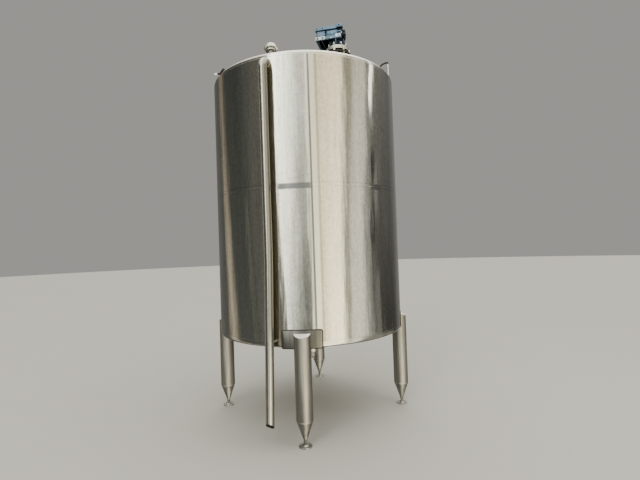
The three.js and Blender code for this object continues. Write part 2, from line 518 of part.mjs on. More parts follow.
// The bottom outlet.
const outletRadius = OUTLET.diameter / 2;
const outletBore = outletRadius - OUTLET.wall;
const neckHigh = BOTTOM_APEX + OUTLET.intoHead;
piece(tank, 'outlet_neck', turned([[outletBore, neckHigh], [outletRadius, neckHigh],
  ...ferruleRim(outletRadius, OUTLET.neckLow, OUTLET_RIM, -1), [outletBore, OUTLET.neckLow],
  [outletBore, neckHigh]], PIPE_SEGMENTS), BRIGHT_STEEL);
const valveMiddle = (OUTLET.neckLow + OUTLET.valveLow) / 2;
const valveBody = rod(outletRadius + VALVE.reach, OUTLET.valveLow + GAP, OUTLET.neckLow - GAP);
const valveStem = rod(VALVE.stemRadius, 0, VALVE.stemLength, SMALL_SEGMENTS)
  .rotate([-90, 0, 0])
  .translate([0, outletRadius + VALVE.reach - 4, valveMiddle]);
const leverNear = outletRadius + LEVER.start;
const lever = block([-LEVER.back, leverNear, valveMiddle - LEVER.halfHeight],
  [LEVER.length, leverNear + LEVER.thickness, valveMiddle + LEVER.halfHeight]);
piece(tank, 'outlet_valve', join(valveBody, valveStem, lever), BRIGHT_STEEL);
piece(tank, 'outlet_ferrule', turned([[outletBore, OUTLET.valveLow],
  ...ferruleRim(outletRadius, OUTLET.valveLow, OUTLET_RIM, 1).reverse(),
  ...ferruleRim(outletRadius, OUTLET.end, OUTLET_RIM, -1), [outletBore, OUTLET.end],
  [outletBore, OUTLET.valveLow]], PIPE_SEGMENTS), BRIGHT_STEEL);

export default tank;
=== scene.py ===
"""The looks of a vertical storage tank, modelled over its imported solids. Lengths are in metres."""
import math

import bpy
from bpy.props import FloatProperty, FloatVectorProperty, IntProperty, PointerProperty
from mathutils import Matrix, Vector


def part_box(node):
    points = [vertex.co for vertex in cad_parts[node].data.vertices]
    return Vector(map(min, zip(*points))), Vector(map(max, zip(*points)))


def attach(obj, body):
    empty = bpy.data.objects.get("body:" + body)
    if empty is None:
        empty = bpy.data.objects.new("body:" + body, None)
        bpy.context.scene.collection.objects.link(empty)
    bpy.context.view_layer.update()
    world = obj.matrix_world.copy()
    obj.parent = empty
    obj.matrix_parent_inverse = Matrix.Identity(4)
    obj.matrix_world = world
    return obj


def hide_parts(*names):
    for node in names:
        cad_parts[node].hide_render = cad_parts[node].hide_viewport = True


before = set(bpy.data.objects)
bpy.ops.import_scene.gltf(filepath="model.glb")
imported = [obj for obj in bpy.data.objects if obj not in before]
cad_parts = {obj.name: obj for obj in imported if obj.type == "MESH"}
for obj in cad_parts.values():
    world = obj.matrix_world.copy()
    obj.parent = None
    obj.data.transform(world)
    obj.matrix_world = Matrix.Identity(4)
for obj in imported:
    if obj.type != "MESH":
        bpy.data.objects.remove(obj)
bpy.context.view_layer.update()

bl_info = {
    "name": "Vertical storage tank",
    "version": (1, 0, 0),
    "blender": (4, 5, 0),
    "location": "3D View > Sidebar > Tank",
    "description": "Models a stainless storage tank with its legs, overflow, drive and roof fittings",
    "category": "Object",
}

# The vessel, as in its solids. A bearing is an angle round the tank's axis, with 0 in front. Bearings, slopes
# and turns are in degrees. A head's slope is its rise from the shell towards the axis.
SHEET = 0.004
KNUCKLE = 0.025
ROOF_TANGENT = 3.192
ROOF_WELD = 3.179
ROOF_SLOPE = 12
ROOF_APEX = 3.40355
BOTTOM_TANGENT = 0.815
BOTTOM_WELD = 0.840
BOTTOM_SLOPE = -8
GIRTH_WELD = 2.102
SEAM_BEARINGS = (4.3, 184.3)
SIDES = ("front", "right", "back", "left")

# The legs. Each stands against a doubling plate, with a flat sloping cap above and a cone below.
LEG_BEARING = -3.5
LEG_TOP = 0.906
LEG_CAP_SLOPE = 23
LEG_CAP_SHEET = 0.004
CONE_WELD = 0.2105
DOUBLER_FACE = 0.9053

# The overflow. Its pipe is upright below the bend, then leans a little, down to a mitred end.
OVERFLOW_BEARING = -18
OVERFLOW_WALL = 0.002
OVERFLOW_ENTRY = 3.134
OVERFLOW_BEND = 3.064
OVERFLOW_LEAN = math.tan(math.radians(1.5))
OVERFLOW_LEAN_START = 1.5
OVERFLOW_END = 0.181
OVERFLOW_MITRE = 42
BRACKET_HEIGHT = 0.847

# The stirrer drive has a frame of its own, which is moved and turned on the roof.
DRIVE_PLACE = (0.350, -0.282)
DRIVE_TURN = -13.7
NOZZLE_RADIUS = 0.084
STUD_CIRCLE = 0.1140
FIRST_STUD = -50.3
FOOT_BOLT_CIRCLE = 0.0880
FIRST_FOOT_BOLT = -56.3
CASE_BASE = 3.5812
CASE_TOP = 3.7032
CASE_END = 0.0583
PAD_FACE = -0.0868
MOTOR_AXIS = (-0.123, 0.0973, 3.6422)

# The other roof fittings and the outlet.
VENT_PLACE = (-0.2509, -0.6930)
VENT_RADIUS = 0.03175
CLAMP_TURN = 205
MANWAY_PLACE = (-0.250, 0.360)
MANWAY_RADIUS = 0.225
LUG_BEARING = 66.5
HOOK_BEARING = -54
VALVE_HEIGHT = 0.565


# Sizes and colours that a user may change

class TankSizes(bpy.types.PropertyGroup):
    """Sizes of the vessel and its larger parts"""
    shell_radius: FloatProperty(
        name="Shell radius", description="Outer radius of the round shell",
        default=round(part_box("roof")[1].x, 3), unit="LENGTH")
    leg_radius: FloatProperty(
        name="Leg radius", description="Outer radius of the leg tube", default=0.06985, unit="LENGTH")
    leg_circle: FloatProperty(
        name="Leg circle", description="Distance of a leg's middle from the tank's axis",
        default=0.889, unit="LENGTH")
    overflow_radius: FloatProperty(
        name="Overflow radius", description="Outer radius of the overflow pipe", default=0.035, unit="LENGTH")
    overflow_circle: FloatProperty(
        name="Overflow circle", description="Distance of the overflow pipe from the tank's axis",
        default=0.970, unit="LENGTH")
    weld_width: FloatProperty(
        name="Weld width", description="Width of a weld bead on the shell", default=0.007, unit="LENGTH")
    shell_sides: IntProperty(
        name="Shell sides", description="Flat sides that make the round shell", default=192, min=48)


class TankFinish(bpy.types.PropertyGroup):
    """Colours and strengths of the finishes"""
    steel: FloatVectorProperty(
        name="Steel", description="Colour of the shell's steel", default=(0.66, 0.655, 0.585),
        subtype="COLOR", size=3, min=0, max=1)
    steel_warm: FloatVectorProperty(
        name="Warm steel", description="Colour of the shell's steel in its warmer patches",
        default=(0.67, 0.64, 0.54), subtype="COLOR", size=3, min=0, max=1)
    fitting: FloatVectorProperty(
        name="Fitting steel", description="Colour of pipes, flanges and bolts",
        default=(0.66, 0.645, 0.575), subtype="COLOR", size=3, min=0, max=1)
    paint: FloatVectorProperty(
        name="Drive paint", description="Colour of the painted gear unit and motor",
        default=(0.085, 0.19, 0.31), subtype="COLOR", size=3, min=0, max=1)
    plastic: FloatVectorProperty(
        name="Plastic", description="Colour of the terminal box", default=(0.028, 0.03, 0.034),
        subtype="COLOR", size=3, min=0, max=1)
    streaks: FloatProperty(
        name="Streaks", description="Strength of the upright streaks on the shell", default=0.8,
        min=0, max=1, subtype="FACTOR")
    # Painted shade: how dark the crevices and the undersides of the castings are painted.
    painted_shade: FloatProperty(
        name="Painted shade", description="How dark the grime is in crevices and under the castings", default=0.85,
        min=0, max=1, subtype="FACTOR")
    wear: FloatProperty(
        name="Wear", description="How far the paint is worn along its edges", default=0.55,
        min=0, max=1, subtype="FACTOR")


class TankStage(bpy.types.PropertyGroup):
    """Floor, light and camera"""
    floor: FloatVectorProperty(
        name="Floor", description="Colour of the plain floor", default=(0.36, 0.345, 0.315),
        subtype="COLOR", size=3, min=0, max=1)
    light: FloatProperty(
        name="Light", description="Strength of the soft surrounding light", default=1.0, min=0)
    backdrop: FloatVectorProperty(
        name="Backdrop", description="Colour of the plain backdrop", default=(0.335, 0.33, 0.31),
        subtype="COLOR", size=3, min=0, max=1)
    lens: FloatProperty(
        name="Lens", description="Focal length of the camera", default=22.549, unit="CAMERA", min=5)


# Modelling helpers

def clear():
    """Deselects everything, so that an operator acts on the new piece alone."""
    bpy.ops.object.select_all(action="DESELECT")


def pick(*pieces):
    """Selects these pieces only. The first one is active."""
    clear()
    for piece in pieces:
        piece.select_set(True)
    bpy.context.view_layer.objects.active = pieces[0]


def remove(*pieces):
    """Deletes pieces that were only patterns or tools."""
    pick(*pieces)
    bpy.ops.object.delete()


def put(piece, place=(0, 0, 0), turn=(0, 0, 0)):
    """Turns a piece by degrees about X, Y and Z, moves it and applies its place to its mesh."""
    pick(piece)
    piece.rotation_euler = [math.radians(angle) for angle in turn]
    piece.location = place
    bpy.ops.object.transform_apply(location=True, rotation=True, scale=True)
    return piece


def new_piece():
    """The primitive that was just added, with its place applied to its mesh."""
    piece = bpy.context.active_object
    pick(piece)
    bpy.ops.object.transform_apply(location=True, rotation=True, scale=True)
    clear()
    return piece


def edit_all(piece):
    """Opens a piece in edit mode with all of it selected."""
    pick(piece)
    bpy.ops.object.mode_set(mode="EDIT")
    bpy.ops.mesh.select_mode(type="VERT")
    bpy.ops.mesh.select_all(action="SELECT")


def edit_parts(piece, kind, test):
    """Opens a piece in edit mode with only those of its edges or faces selected that pass a test."""
    pick(piece)
    bpy.ops.object.mode_set(mode="EDIT")
    bpy.ops.mesh.select_mode(type=kind)
    bpy.ops.mesh.select_all(action="DESELECT")
    bpy.ops.object.mode_set(mode="OBJECT")
    for part in piece.data.edges if kind == "EDGE" else piece.data.polygons:
        part.select = test(part)
    bpy.ops.object.mode_set(mode="EDIT")


def end_edit(piece):
    """Goes back to object mode, and gives the piece back."""
    bpy.ops.object.mode_set(mode="OBJECT")
    return piece


def mend(piece):
    """Merges doubled corners and turns the faces outwards."""
    edit_all(piece)
    bpy.ops.mesh.remove_doubles(threshold=0.00001)
    bpy.ops.mesh.normals_make_consistent(inside=False)
    return end_edit(piece)


def round_outline(radius, place, sides, fill="NOTHING"):
    """A circle, open or filled with one face."""
    clear()
    bpy.ops.mesh.primitive_circle_add(vertices=sides, radius=radius, location=place, fill_type=fill)
    return new_piece()


def hoop(radius, bar_radius, place, turn=(0, 0, 0), sides=8):
    """A ring of round bar."""
    clear()
    bpy.ops.mesh.primitive_torus_add(
        major_radius=radius, minor_radius=bar_radius, major_segments=40, minor_segments=sides,
        location=place, rotation=[math.radians(angle) for angle in turn])
    return new_piece()


def turned(profile, sides=48, solid=True):
    """Extrudes and resizes a circle along a profile of (radius, height) points.
    A solid one is capped at both ends. Else the profile ends where it starts."""
    radius, height = profile[0]
    piece = round_outline(radius, (0, 0, height), sides, "NGON" if solid else "NOTHING")
    edit_all(piece)
    for next_radius, next_height in profile[1:]:
        bpy.ops.mesh.extrude_region_move(TRANSFORM_OT_translate={"value": (0, 0, next_height - height)})
        if next_radius != radius:
            grow = next_radius / radius
            bpy.ops.transform.resize(value=(grow, grow, 1), center_override=(0, 0, next_height))
        radius, height = next_radius, next_height
    end_edit(piece)
    return mend(piece)


def rod(radius, low, high, sides):
    """A plain round rod, for a hole or a shank."""
    return turned([(radius, low), (radius, high)], sides)


def hollow(profile, sides=48):
    """Turns a closed profile, given without its first point again, into a tube or a ring."""
    return turned([*profile, profile[0]], sides, solid=False)


def bore(radius, depth, reach, sides=20):
    """A tool for a round hole that goes in from the front by its depth, and stands out by its reach."""
    return put(rod(radius, -depth, reach, sides), turn=(90, 0, 0))


def hexagon(radius, low, high):
    """A hexagonal nut or bolt head with a chamfered top."""
    edge = radius * 0.13
    return turned([(radius, low), (radius, high - edge), (radius * 0.88, high)], 6)


def arc(centre, radius, start, end, steps):
    """Profile points on an arc, from one angle in degrees to another."""
    angles = [math.radians(start + (end - start) * i / steps) for i in range(steps + 1)]
    return [(centre[0] + radius * math.cos(a), centre[1] + radius * math.sin(a)) for a in angles]


def block(low, high, edge=0, segments=2):
    """A box between two corners, with rounded edges."""
    clear()
    middle = [(a + b) / 2 for a, b in zip(low, high)]
    size = [b - a for a, b in zip(low, high)]
    bpy.ops.mesh.primitive_cube_add(size=1, location=middle, scale=size)
    piece = new_piece()
    if edge:
        edit_all(piece)
        bpy.ops.mesh.bevel(offset=edge, segments=segments, affect="EDGES", clamp_overlap=True)
        end_edit(piece)
    return piece


def finish_with(piece, kind, **settings):
    """Adds a modifier with its settings to a piece and applies it."""
    pick(piece)
    modifier = piece.modifiers.new("Shape", kind)
    for name, value in settings.items():
        setattr(modifier, name, value)
    bpy.ops.object.modifier_apply(modifier=modifier.name)
    return piece


def bevel(piece, width, angle=50):
    """Rounds the edges that are sharper than an angle."""
    return finish_with(piece, "BEVEL", width=width, segments=2, limit_method="ANGLE",
                       angle_limit=math.radians(angle))


def bevel_edges(piece, test, width, segments):
    """Rounds the edges whose two ends pass a test."""
    edit_parts(piece, "EDGE", lambda edge: test(*(piece.data.vertices[i].co for i in edge.vertices)))
    bpy.ops.mesh.bevel(offset=width, segments=segments, affect="EDGES")
    return end_edit(piece)


def thicken(piece, thickness):
    """Gives an outer skin its wall, inwards."""
    return finish_with(piece, "SOLIDIFY", thickness=thickness, offset=-1)


def carve(piece, *tools, operation="DIFFERENCE"):
    """Cuts each tool out of a piece, or keeps what they share, and removes the tools."""
    for tool in tools:
        finish_with(piece, "BOOLEAN", operation=operation, solver="EXACT", object=tool)
        remove(tool)
    pick(piece)
    return piece


def slice_off(piece, point, normal):
    """Cuts off what lies on the normal's side of a plane, and closes the cut."""
    edit_all(piece)
    bpy.ops.mesh.bisect(plane_co=point, plane_no=normal, use_fill=True, clear_outer=True)
    return end_edit(piece)


def inset(piece, test, width, depth):
    """Insets the faces whose middle and normal pass a test, and pushes them in."""
    edit_parts(piece, "FACE", lambda face: test(face.center, face.normal))
    bpy.ops.mesh.inset(thickness=width, depth=0)
    bpy.ops.mesh.inset(thickness=0, depth=-depth)
    return end_edit(piece)


def copied(piece, place=(0, 0, 0), turn=(0, 0, 0)):
    """A copy with its own mesh, turned and moved."""
    pick(piece)
    bpy.ops.object.duplicate()
    return put(bpy.context.active_object, place, turn)


def joined(*pieces):
    """Makes one piece of several."""
    pick(*pieces)
    bpy.ops.object.join()
    return pieces[0]


def ring_of(piece, count, first=0):
    """Copies a piece round the upright axis and joins the copies. The first stands at its own angle."""
    whole = [copied(piece, turn=(0, 0, first + 360 / count * i)) for i in range(count)]
    remove(piece)
    return joined(*whole)


def row_of(piece, places):
    """Copies a piece to each place and joins the copies."""
    whole = [copied(piece, place) for place in places]
    remove(piece)
    return joined(*whole)


def step_towards(start, end, distance):
    """The point a distance away from the start on the way to the end."""
    share = distance / math.dist(start, end)
    return [a + (b - a) * share for a, b in zip(start, end)]


def bar(points, radius, bend=0):
    """A round bar through a few corners, each rounded to a bend."""
    path = [points[0]]
    for before, corner, after in zip(points, points[1:], points[2:]):
        start = step_towards(corner, before, bend)
        end = step_towards(corner, after, bend)
        for t in [i / 6 for i in range(7)]:
            path.append([(1 - t) ** 2 * a + 2 * t * (1 - t) * b + t * t * c
                         for a, b, c in zip(start, corner, end)])
    path.append(points[-1])
    clear()
    bpy.ops.curve.primitive_bezier_curve_add(location=(0, 0, 0))
    piece = bpy.context.active_object
    piece.data.splines.clear()
    spline = piece.data.splines.new("POLY")
    spline.points.add(len(path) - 1)
    for point, place in zip(spline.points, path):
        point.co = (*place, 1)
    piece.data.dimensions = "3D"
    piece.data.bevel_depth = radius
    piece.data.bevel_resolution = 4
    piece.data.use_fill_caps = True
    bpy.ops.object.convert(target="MESH")
    return mend(bpy.context.active_object)


def at_bearing(piece, bearing):
    """Turns a piece that was modelled at the front to its bearing."""
    return put(piece, turn=(0, 0, bearing))


def on_drive(piece):
    """Moves a piece from the drive's own frame to its place on the roof."""
    return put(piece, (*DRIVE_PLACE, 0), (0, 0, DRIVE_TURN))


def dress(piece, name, finish, slot, *nodes, angle=35):
    """Names a finished piece, smooths it, gives it its finish and sets it in the frame."""
    piece.name = name
    piece.data.name = name
    pick(piece)
    bpy.ops.object.shade_smooth_by_angle(angle=math.radians(angle))
    piece.data.materials.clear()
    piece.data.materials.append(finish_named(finish))
    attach(piece, "root")
    if nodes:
        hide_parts(*nodes)


# Shader nodes

def new_group(name, inputs, outputs):
    """An empty node group that takes a vector, with the sockets of its input and output nodes."""
    tree = bpy.data.node_groups.new(name, "ShaderNodeTree")
    tree.interface.new_socket(name="Vector", in_out="INPUT", socket_type="NodeSocketVector")
    for label, value in inputs.items():
        socket = tree.interface.new_socket(name=label, in_out="INPUT", socket_type="NodeSocketFloat")
        socket.default_value = value
    for label in outputs:
        tree.interface.new_socket(name=label, in_out="OUTPUT", socket_type="NodeSocketFloat")
    return tree, tree.nodes.new("NodeGroupInput").outputs, tree.nodes.new("NodeGroupOutput").inputs


def link(tree, source, target):
    """Links two sockets, or sets the target to a plain value."""
    if isinstance(source, bpy.types.NodeSocket):
        tree.links.new(source, target)
    else:
        target.default_value = source


def math_node(tree, operation, a, b=0.5, clamp=False):
    """A Math node on two values, or on the first alone."""
    node = tree.nodes.new("ShaderNodeMath")
    node.operation = operation
    node.use_clamp = clamp
    link(tree, a, node.inputs[0])
    link(tree, b, node.inputs[1])
    return node.outputs[0]


def times(tree, a, b, clamp=False):
    """The product of two values."""
    return math_node(tree, "MULTIPLY", a, b, clamp)


def plus(tree, a, b):
    """The sum of two values."""
    return math_node(tree, "ADD", a, b)


def minus(tree, a, b):
    """The difference of two values."""
    return math_node(tree, "SUBTRACT", a, b)


def larger(tree, a, b):
    """The larger of two values."""
    return math_node(tree, "MAXIMUM", a, b)


def remap(tree, value, low, high, to_low=0.0, to_high=1.0):
    """Maps a value smoothly from one range to another, with its ends held."""
    node = tree.nodes.new("ShaderNodeMapRange")
    node.interpolation_type = "SMOOTHSTEP"
    for socket, number in zip(node.inputs[:5], (value, low, high, to_low, to_high)):
        link(tree, number, socket)
    return node.outputs[0]


def away_from(tree, value, middle):
    """How far a value is from a middle one."""
    return math_node(tree, "ABSOLUTE", minus(tree, value, middle))


def line_at(tree, value, middle, half, soft):
    """A mask of a line: where a value is near a middle one, with soft edges."""
    return remap(tree, away_from(tree, value, middle), half, half + soft, 1.0, 0.0)


def between(tree, value, low, high, soft):
    """A mask of a reach, which grows from its low end and fades from its high end."""
    return times(tree, remap(tree, value, low, low + soft), remap(tree, value, high, high + soft, 1.0, 0.0))


def stretched_noise(tree, vector, scale, stretch, detail=3.0, roughness=0.55):
    """Noise on a vector that is first scaled along each axis."""
    mapping = tree.nodes.new("ShaderNodeMapping")
    link(tree, vector, mapping.inputs["Vector"])
    mapping.inputs["Scale"].default_value = stretch
    noise = tree.nodes.new("ShaderNodeTexNoise")
    link(tree, mapping.outputs[0], noise.inputs["Vector"])
    link(tree, scale, noise.inputs["Scale"])
    noise.inputs["Detail"].default_value = detail
    noise.inputs["Roughness"].default_value = roughness
    return noise.outputs[0]


def even_noise(tree, vector, scale, detail=3.0, roughness=0.55):
    """Noise that is alike along all axes."""
    return stretched_noise(tree, vector, scale, (1, 1, 1), detail, roughness)


def mix_colour(tree, factor, a, b):
    """A colour mixed from two others."""
    node = tree.nodes.new("ShaderNodeMix")
    node.data_type = "RGBA"
    link(tree, factor, node.inputs[0])
    for colour, socket in ((a, node.inputs[6]), (b, node.inputs[7])):
        link(tree, colour if isinstance(colour, bpy.types.NodeSocket) else (*colour[:3], 1), socket)
    return node.outputs[2]


def laid_over(tree, colour, mask, strength, other):
    """A colour with another laid over it, by a mask and a strength."""
    return mix_colour(tree, times(tree, mask, strength), colour, other)


def shade(colour, factor):
    """A colour made darker or lighter."""
    return [min(1, channel * factor) for channel in colour]


def split(tree, vector):
    """The X, Y and Z of a vector."""
    node = tree.nodes.new("ShaderNodeSeparateXYZ")
    link(tree, vector, node.inputs[0])
    return node.outputs


def along_bearing(tree, x, y, bearing):
    """How far a point, or a direction, reaches to the right of a bearing."""
    angle = math.radians(bearing)
    return plus(tree, times(tree, x, math.cos(angle)), times(tree, y, math.sin(angle)))


def surface_normal(tree):
    """The X, Y and Z of the way that the surface faces."""
    return split(tree, tree.nodes.new("ShaderNodeNewGeometry").outputs["Normal"])


def streaks_group():
    """Upright streaks: fine brush lines, broad soft bands, and long run marks."""
    tree, given, out = new_group("Upright streaks", {"Fineness": 1.0}, ("Fine", "Bands", "Runs"))
    vector, fineness = given["Vector"], given["Fineness"]
    fine = stretched_noise(tree, vector, times(tree, fineness, 190.0), (1, 1, 0.008), 2.0)
    link(tree, fine, out["Fine"])
    bands = stretched_noise(tree, vector, times(tree, fineness, 11.0), (1, 1, 0.035), 4.0, 0.6)
    link(tree, bands, out["Bands"])
    runs = stretched_noise(tree, vector, times(tree, fineness, 34.0), (1, 1, 0.02), 3.0, 0.65)
    link(tree, remap(tree, runs, 0.56, 0.72), out["Runs"])
    return tree


def smears_group():
    """Wide cloudy patches, and smaller smeared ones, as masks."""
    tree, given, out = new_group("Smears", {"Scale": 2.0}, ("Clouds", "Smears"))
    wide = stretched_noise(tree, given["Vector"], given["Scale"], (1, 1, 0.6), 3.0)
    link(tree, remap(tree, wide, 0.32, 0.68), out["Clouds"])
    small = stretched_noise(tree, given["Vector"], times(tree, given["Scale"], 6.0), (1, 1, 0.3), 5.0, 0.6)
    link(tree, remap(tree, small, 0.5, 0.72), out["Smears"])
    return tree


def specks_group():
    """Small dark specks scattered on a surface."""
    tree, given, out = new_group("Specks", {"Scale": 30.0, "Share": 0.2}, ("Specks",))
    cells = tree.nodes.new("ShaderNodeTexVoronoi")
    link(tree, given["Vector"], cells.inputs["Vector"])
    link(tree, given["Scale"], cells.inputs["Scale"])
    near = remap(tree, cells.outputs["Distance"], 0.06, 0.14, 1.0, 0.0)
    chosen = math_node(tree, "LESS_THAN", split(tree, cells.outputs["Color"])[0], given["Share"])
    link(tree, times(tree, near, chosen), out["Specks"])
    return tree


def edges_group():
    """A mask of worn edges, broken up by noise."""
    tree, given, out = new_group("Worn edges", {"Radius": 0.002, "Amount": 0.5}, ("Mask",))
    rounded = tree.nodes.new("ShaderNodeBevel")
    rounded.samples = 4
    link(tree, given["Radius"], rounded.inputs["Radius"])
    product = tree.nodes.new("ShaderNodeVectorMath")
    product.operation = "DOT_PRODUCT"
    link(tree, rounded.outputs[0], product.inputs[0])
    link(tree, tree.nodes.new("ShaderNodeNewGeometry").outputs["Normal"], product.inputs[1])
    edge = remap(tree, product.outputs["Value"], 0.90, 0.995, 1.0, 0.0)
    patches = remap(tree, even_noise(tree, given["Vector"], 55.0, 4.0, 0.7), 0.42, 0.62)
    worn = times(tree, edge, patches)
    link(tree, times(tree, worn, given["Amount"], clamp=True), out["Mask"])
    return tree


def dust_group():
    """A mask of dust, which lies on what faces upwards and a little elsewhere."""
    tree, given, out = new_group("Dust", {"Amount": 0.5}, ("Mask",))
    upwards = remap(tree, surface_normal(tree)[2], 0.1, 0.95, 0.22, 1.0)
    cloudy = remap(tree, even_noise(tree, given["Vector"], 14.0, 5.0, 0.65), 0.3, 0.75)
    link(tree, times(tree, times(tree, upwards, cloudy), given["Amount"], clamp=True), out["Mask"])
    return tree


def painted_shade_group():
    """A mask of painted shade, which darkens crevices and what faces down."""
    tree, given, out = new_group("Painted shade", {"Reach": 0.02, "Amount": 0.5}, ("Mask",))
    # Painted shade: the occlusion of crevices and the faces turned down, broken up by noise.
    crevice = tree.nodes.new("ShaderNodeAmbientOcclusion")
    crevice.samples = 6
    link(tree, given["Reach"], crevice.inputs["Distance"])
    deep = remap(tree, crevice.outputs["AO"], 0.35, 0.85, 1.0, 0.0)
    below = remap(tree, surface_normal(tree)[2], -0.75, -0.15, 1.0, 0.0)
    cloudy = remap(tree, even_noise(tree, given["Vector"], 30.0, 4.0, 0.65), 0.2, 0.6, 0.75, 1.0)
    shaded_mask = times(tree, larger(tree, deep, below), cloudy)
    link(tree, times(tree, shaded_mask, given["Amount"], clamp=True), out["Mask"])
    return tree


SHARED_GROUPS = {
    "Upright streaks": streaks_group, "Smears": smears_group, "Specks": specks_group,
    "Worn edges": edges_group, "Dust": dust_group, "Painted shade": painted_shade_group,
}


def use_group(tree, name, vector, **values):
    """Places a shared group in a material, with its own values."""
    node = tree.nodes.new("ShaderNodeGroup")
    node.node_tree = bpy.data.node_groups.get(name) or SHARED_GROUPS[name]()
    link(tree, vector, node.inputs["Vector"])
    for label, value in values.items():
        link(tree, value, node.inputs[label])
    return node.outputs


# Finishes

def start_material(name):
    """A material with a Principled shader, and the object's own coordinates."""
    material = bpy.data.materials.new(name)
    material.use_nodes = True
    tree = material.node_tree
    tree.nodes.clear()
    shader = tree.nodes.new("ShaderNodeBsdfPrincipled")
    tree.links.new(shader.outputs[0], tree.nodes.new("ShaderNodeOutputMaterial").inputs[0])
    return material, tree, shader, tree.nodes.new("ShaderNodeTexCoord").outputs["Object"]


def covered(tree, colour, name, place, other, **values):
    """A colour with another laid over it by a shared group's mask, and the mask."""
    mask = use_group(tree, name, place, **values)["Mask"]
    return mix_colour(tree, mask, colour, other), mask


def set_surface(tree, shader, colour, roughness, height, bump):
    """Links a finish's colour and roughness to its shader, and bumps its surface by a changing height."""
    link(tree, colour, shader.inputs["Base Color"])
    link(tree, roughness, shader.inputs["Roughness"])
    node = tree.nodes.new("ShaderNodeBump")
    node.inputs["Distance"].default_value = bump
    link(tree, height, node.inputs["Height"])
    link(tree, node.outputs[0], shader.inputs["Normal"])


def shell_finish():
    """Mill-finish steel with upright streaks, smears and specks, ground patches along the girth weld darkened
    as a painted reflection, and painted highlights beside the upright seams.
    """
    finish = bpy.context.scene.tank_finish
    material, tree, shader, place = start_material("Vessel steel")
    shader.inputs["Metallic"].default_value = 1.0
    streaks = use_group(tree, "Upright streaks", place)
    narrow = use_group(tree, "Upright streaks", place, Fineness=2.6)
    smears = use_group(tree, "Smears", place, Scale=1.7)
    specks = use_group(tree, "Specks", place, Scale=24.0, Share=0.10)
    colour = mix_colour(tree, smears["Clouds"], finish.steel, finish.steel_warm)
    for mask, low, high, strength, tone in (
            (streaks["Bands"], 0.40, 0.66, 0.50, 0.74), (narrow["Bands"], 0.43, 0.62, 0.55, 0.76),
            (streaks["Runs"], 0.0, 1.0, 0.60, 0.62), (narrow["Runs"], 0.0, 1.0, 0.50, 0.66)):
        streak = remap(tree, mask, low, high)
        colour = laid_over(tree, colour, streak, finish.streaks * strength, shade(finish.steel, tone))
    mottled = remap(tree, stretched_noise(tree, place, 55.0, (1, 1, 0.55), 3.0, 0.7), 0.40, 0.62, 0.0, 0.45)
    colour = mix_colour(tree, mottled, colour, shade(finish.steel, 1.28))
    ground_reflection = ground_patch_reflection(tree, place)
    dark, light = seam_lines(tree, place)
    # The seam's light strips here lay a painted highlight.
    for mask, strength, tone in (
            (smears["Smears"], 0.30, 1.3), (specks["Specks"], 0.6, 0.35), (scratches(tree, place), 0.6, 0.40),
            (weld_lines(tree, place), 0.30, 0.4), (light, 0.5, 1.35), (dark, 0.92, 0.28)):
        colour = laid_over(tree, colour, mask, strength, shade(finish.steel, tone))
    # Painted reflection: the ground patches darkened, as the dark surroundings that they mirror.
    colour = laid_over(tree, colour, ground_reflection, 0.9, (0.15, 0.16, 0.17))
    roughness = remap(tree, streaks["Bands"], 0.3, 0.75, 0.08, 0.16)
    roughness = plus(tree, roughness, times(tree, smears["Smears"], 0.07))
    roughness = plus(tree, roughness, times(tree, ground_reflection, 0.20))
    slow = times(tree, stretched_noise(tree, place, 4.5, (1, 1, 0.22), 2.0), 120.0)
    quick = times(tree, stretched_noise(tree, place, 17.0, (1, 1, 0.10), 2.0), 34.0)
    waves = plus(tree, plus(tree, slow, quick), streaks["Fine"])
    set_surface(tree, shader, colour, roughness, waves, 0.00004)
    return material


# Where the girth weld was ground down, as reaches along X. There the front of the shell is painted darker, as
# a painted reflection.
GROUND_REACHES = ((-0.215, 0.062), (0.575, 0.660))


def ground_patch_reflection(tree, place):
    """A mask of the ground patches along the girth weld, on the front, with soft edges. The shell is darkened
    there as a painted reflection.
    """
    along, depth, height = split(tree, place)
    patches = 0.0
    for low, high in GROUND_REACHES:
        patches = plus(tree, patches, between(tree, along, low - 0.02, high - 0.02, 0.04))
    near = line_at(tree, height, GIRTH_WELD, 0.016, 0.014)
    front = math_node(tree, "LESS_THAN", depth, 0.0)
    return times(tree, times(tree, near, patches), front, clamp=True)


def weld_lines(tree, place):
    """A mask of the two faint lines that border the ground girth weld."""
    away = away_from(tree, split(tree, place)[2], GIRTH_WELD + 0.011)
    return line_at(tree, away, 0.014, 0.002, 0.004)


# Long scratches above the girth weld: where each starts and ends along X, its first height and its rise.
SCRATCHES = ((-0.130, 0.110, 2.156, 0.22), (-0.165, -0.030, 2.205, 0.24), (0.118, 0.122, 2.560, 6.0))


def scratches(tree, place):
    """A mask of a few long straight scratches on the front."""
    along, depth, height = split(tree, place)
    total = 0.0
    for start, end, low, rise in SCRATCHES:
        line = plus(tree, times(tree, along, rise), low - start * rise)
        near = line_at(tree, height, line, 0.0015, 0.0025)
        inside = times(tree, math_node(tree, "GREATER_THAN", along, start),
                       math_node(tree, "LESS_THAN", along, end))
        total = plus(tree, total, times(tree, near, inside))
    front = math_node(tree, "LESS_THAN", depth, 0.0)
    broken = remap(tree, even_noise(tree, place, 20.0, 2.0), 0.35, 0.6, 0.2, 1.0)
    return times(tree, times(tree, total, front), broken, clamp=True)


def seam_lines(tree, place):
    """Masks of the dark lines along the upright seams, and of the painted highlights in strips beside them.
    """
    x, y, _ = split(tree, place)
    across = along_bearing(tree, x, y, SEAM_BEARINGS[0])
    faint = times(tree, line_at(tree, across, 0.059, 0.005, 0.010), 0.50)
    dark = larger(tree, line_at(tree, across, -0.003, 0.005, 0.007), faint)
    # Painted highlights: brighter strips on each side of the seam.
    light = larger(tree, line_at(tree, across, -0.018, 0.006, 0.008),
                   line_at(tree, across, 0.023, 0.016, 0.012))
    return dark, light


